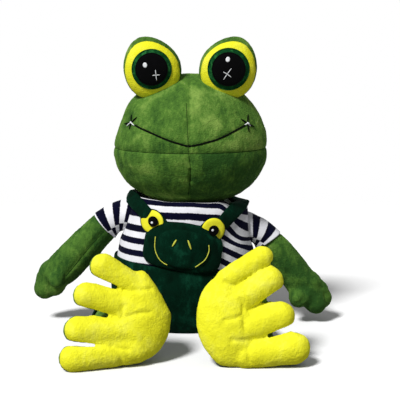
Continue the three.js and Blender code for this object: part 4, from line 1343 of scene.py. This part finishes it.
strapSet = {
    "halfWidth": {"right": 7.9, "left": 8.0}, "halfThickness": 2.3, "lift": 1.5, "steps": 70,
    "arch": {"right": 3.6, "left": 0.0}, "archAt": 24, "archSpread": 9, "underHead": 2.0,
    "fill": (8, 0.6),
    "front": {  # places of the picture from the bib to the shoulder
        "right": [(150, 217), (143.4, 209.5), (137.6, 202.5), (134.4, 197.5)],
        "left": [(221.5, 223.5), (228.5, 216), (235.5, 209), (241.4, 204.6)],
    },
    "back": [(48, 22, 132), (42, 42, 120), (33, 53, 100), (25, 59, 84), (22, 61, 70)],  # in the torso's frame
}
bibFrame = torsoFrame @ shiftBy(bibSet["shift"], 0, bibSet["middle"]) @ turnBy(-bibSet["roll"])
chestRows = torsoRows(0)[5:-12]


def chestFront(x, z, lift):  # how far forward the chest is, in the bib's frame
    place = shiftBy(bibSet["shift"], 0, bibSet["middle"]) @ turnBy(-bibSet["roll"]) @ Vector((x, 0, z))
    radius = np.interp(place.z, [row[1] for row in chestRows], [row[0] for row in chestRows])
    inside = max(0.02, 1 - (place.x / radius) ** 2)
    return -radius * torsoSet["halfDepth"] / torsoSet["halfWidth"] * math.sqrt(inside) - lift


def panelOutline(angle):  # rounded at the top, nearly square where it is sewn to the waist
    full = bibSet["fullness"]["upper" if math.sin(angle) > 0 else "lower"]
    return superRound(bibSet["halfWidth"], bibSet["halfHeight"], full)(angle)


def bibSpot(u, v):  # x and z in the bib's frame of a place of the picture
    x, z = 0.0, 0.0
    for _ in range(8):
        place = bibFrame.inverted() @ placeAt(u, v, (bibFrame @ Vector((x, chestFront(x, z, 6), z))).y)
        x, z = place.x, place.z
    return x, z


def bibOutline(angle):  # the panel with the frog's eyes standing out of its upper corners
    reach = panelOutline(angle)
    for name in sides:
        toEye = Vector(bibSpot(*bibSet["eye"][name]))
        ray = Vector((math.cos(angle), math.sin(angle)))
        along = ray.dot(toEye)
        off = toEye.length_squared - along ** 2
        if along > 0 and off < bibSet["eyeRadius"] ** 2:
            reach = max(reach, along + math.sqrt(bibSet["eyeRadius"] ** 2 - off))
    return reach


def bibPatch(name, x, z, lift, outline, material, replaced=(), fill=None, rings=10, around=56):
    def front(dx, dz, more):
        return chestFront(x + dx, z + dz, more)
    patch = dome(name, front, bibFrame @ shiftBy(x, 0, z), *lift, outline, rings=rings, around=around)
    if fill is not None:
        roughen(patch, *bibSet["fill"])
    finishPiece(patch, "torso", material, replaced)
    return patch


def makeBib():
    lifts = bibSet["lifts"]
    bibPatch("overallsBib", 0, 0, lifts["backing"], bibOutline, "greenVelour", ["overalls_bib"], 0.6,
             rings=22, around=160)
    panel = bibPatch("bibFace", 0, 0, lifts["face"], panelOutline, "greenVelour", fill=0.6,
                     rings=22, around=128)
    outline = superRound(bibSet["muzzleHalfWidth"], bibSet["muzzleHalfHeight"], bibSet["muzzleFullness"])
    muzzle = bibPatch("bibMuzzle", 0, -bibSet["muzzleDrop"], lifts["muzzle"], outline, "greenVelour",
                      ["bib_muzzle"], 0.7, rings=20, around=96)
    for name in sides:
        bibPatch(f"bibEye{name.title()}", *bibSpot(*bibSet["eye"][name]), lifts["eye"],
                 lambda angle: bibSet["eyeRadius"] - 0.8, "yellowFelt", [f"bib_eye_{name}"])
        bibPatch(f"bibPupil{name.title()}", *bibSpot(*bibSet["pupil"][name]), lifts["pupil"],
                 lambda angle: bibSet["pupilRadius"], "blackFelt", [f"bib_pupil_{name}"])
        bibPatch(f"bibDot{name.title()}", *bibSpot(*bibSet["dot"][name]), lifts["dot"],
                 lambda angle: bibSet["dotRadius"], "whiteThread", rings=4, around=20)
    surface = surfaceOf(panel, muzzle)
    for name in sides:
        smile = seenLine(surface, bibSet["smile"][name], 40, 0.4)
        thread(f"bibSmile{name.title()}", smile, bibSet["smileRadius"], "torso", "paleThread", stitch=3)
        nostril = seenLine(surface, bibSet["nostril"][name], 12, 0.5)
        thread(f"bibNostril{name.title()}", nostril, bibSet["nostrilRadius"], "torso", "paleThread",
               taper=True)


def makeStrap(name, surface):
    side = sides[name]
    last = strapSet["steps"]
    front = [seenAt(surface, u, v) for u, v in strapSet["front"][name]]
    top = front[-1] + Vector((side * 0.5, 14, 1))
    back = [torsoFrame @ Vector((side * x, y, z)) for x, y, z in strapSet["back"]]
    line = [nearTo(surface, place) for place in smoothLine(front + [top] + back, last)]
    outward = [surface.find_nearest(place * mm)[1] for place in line]
    rings = []
    for i, place in enumerate(line):
        along = (line[min(i + 2, last)] - line[max(i - 2, 0)]).normalized()
        out = sum((outward[j] for j in range(max(0, i - 6), min(last, i + 6) + 1)), Vector())
        out = (out - along * out.dot(along)).normalized()
        across = along.cross(out).normalized()
        fromArch = (i - strapSet["archAt"]) / strapSet["archSpread"]
        middle = place + out * (strapSet["lift"] + strapSet["arch"][name] * math.exp(-(fromArch ** 2)))
        rings.append((middle, across, out, strapSet["halfWidth"][name], strapSet["halfThickness"]))
    strap = addMesh(f"strap{name.title()}", *tube(rings, 24, Matrix.Identity(4)))
    movePoints(strap, underHead(pointsOf(strap), headSet["room"] - strapSet["underHead"]))
    soften(strap, 2)
    subdivide(strap)
    roughen(strap, *strapSet["fill"])
    finishPiece(strap, "torso", "greenVelour", [f"strap_{name}"])


makeBib()
dressed = surfaceOf(shirt, trousers)
for name in sides:
    makeStrap(name, dressed)
print("bib and straps are made")


# Stage

stageSet = {
    "world": 0.24, "sun": 3.6, "sunAim": (0.42, 0.56, -0.84), "sunSize": rad(13),
    "floorSeen": 0.97, "floorLit": 0.3, "floorFrom": 0.25, "floorTo": 0.9, "floorHalf": 1500,
}


def seenDirectly(tree):  # 1 for what the camera sees, also by way of gloss and glass
    path = addNode(tree, "ShaderNodeLightPath")
    seen = calc(tree, "MAXIMUM", path.outputs["Is Camera Ray"], path.outputs["Is Glossy Ray"])
    return calc(tree, "MAXIMUM", seen, path.outputs["Is Transmission Ray"])


def makeWorld():
    world = bpy.data.worlds.new("studio")
    bpy.context.scene.world = world
    world.use_nodes = True
    tree = world.node_tree
    back = tree.nodes["Background"]
    strength = addNode(tree, "ShaderNodeMapRange", {
        "Value": seenDirectly(tree), "To Min": stageSet["world"], "To Max": 1.0})
    tree.links.new(strength.outputs["Result"], back.inputs["Strength"])
    back.inputs["Color"].default_value = (1, 1, 1, 1)


def makeLight():
    data = bpy.data.lights.new("keyLight", "SUN")
    data.energy = stageSet["sun"]
    data.angle = stageSet["sunSize"]
    lamp = addObject("keyLight", data)
    lamp.rotation_euler = Vector(stageSet["sunAim"]).to_track_quat("-Z", "Y").to_euler()


def makeFloor():
    corners = np.array([(-1, -1, 0), (1, -1, 0), (1, 1, 0), (-1, 1, 0)]) * stageSet["floorHalf"]
    floor = addMesh("floor", corners, [(0, 1, 2, 3)])
    material = bpy.data.materials.new("paleFloor")
    material.use_nodes = True
    tree = material.node_tree
    shader = tree.nodes["Principled BSDF"]
    shader.inputs["Roughness"].default_value = 1
    shader.inputs["Specular IOR Level"].default_value = 0
    pale = addNode(tree, "ShaderNodeMapRange", {
        "Value": seenDirectly(tree), "To Min": stageSet["floorLit"], "To Max": stageSet["floorSeen"]})
    tree.links.new(pale.outputs["Result"], shader.inputs["Base Color"])
    place = addNode(tree, "ShaderNodeTexCoord").outputs["Object"]
    away = addNode(tree, "ShaderNodeVectorMath", {0: place}, operation="LENGTH").outputs["Value"]
    fade = addNode(tree, "ShaderNodeMapRange", {
        "Value": away, "From Min": stageSet["floorFrom"], "From Max": stageSet["floorTo"], "To Min": 1.0,
        "To Max": 0.0}, interpolation_type="SMOOTHSTEP")
    tree.links.new(fade.outputs["Result"], shader.inputs["Alpha"])
    floor.data.materials.append(material)


bpy.context.scene.view_settings.view_transform = "Standard"
makeWorld()
makeLight()
makeFloor()
print("stage is lit")
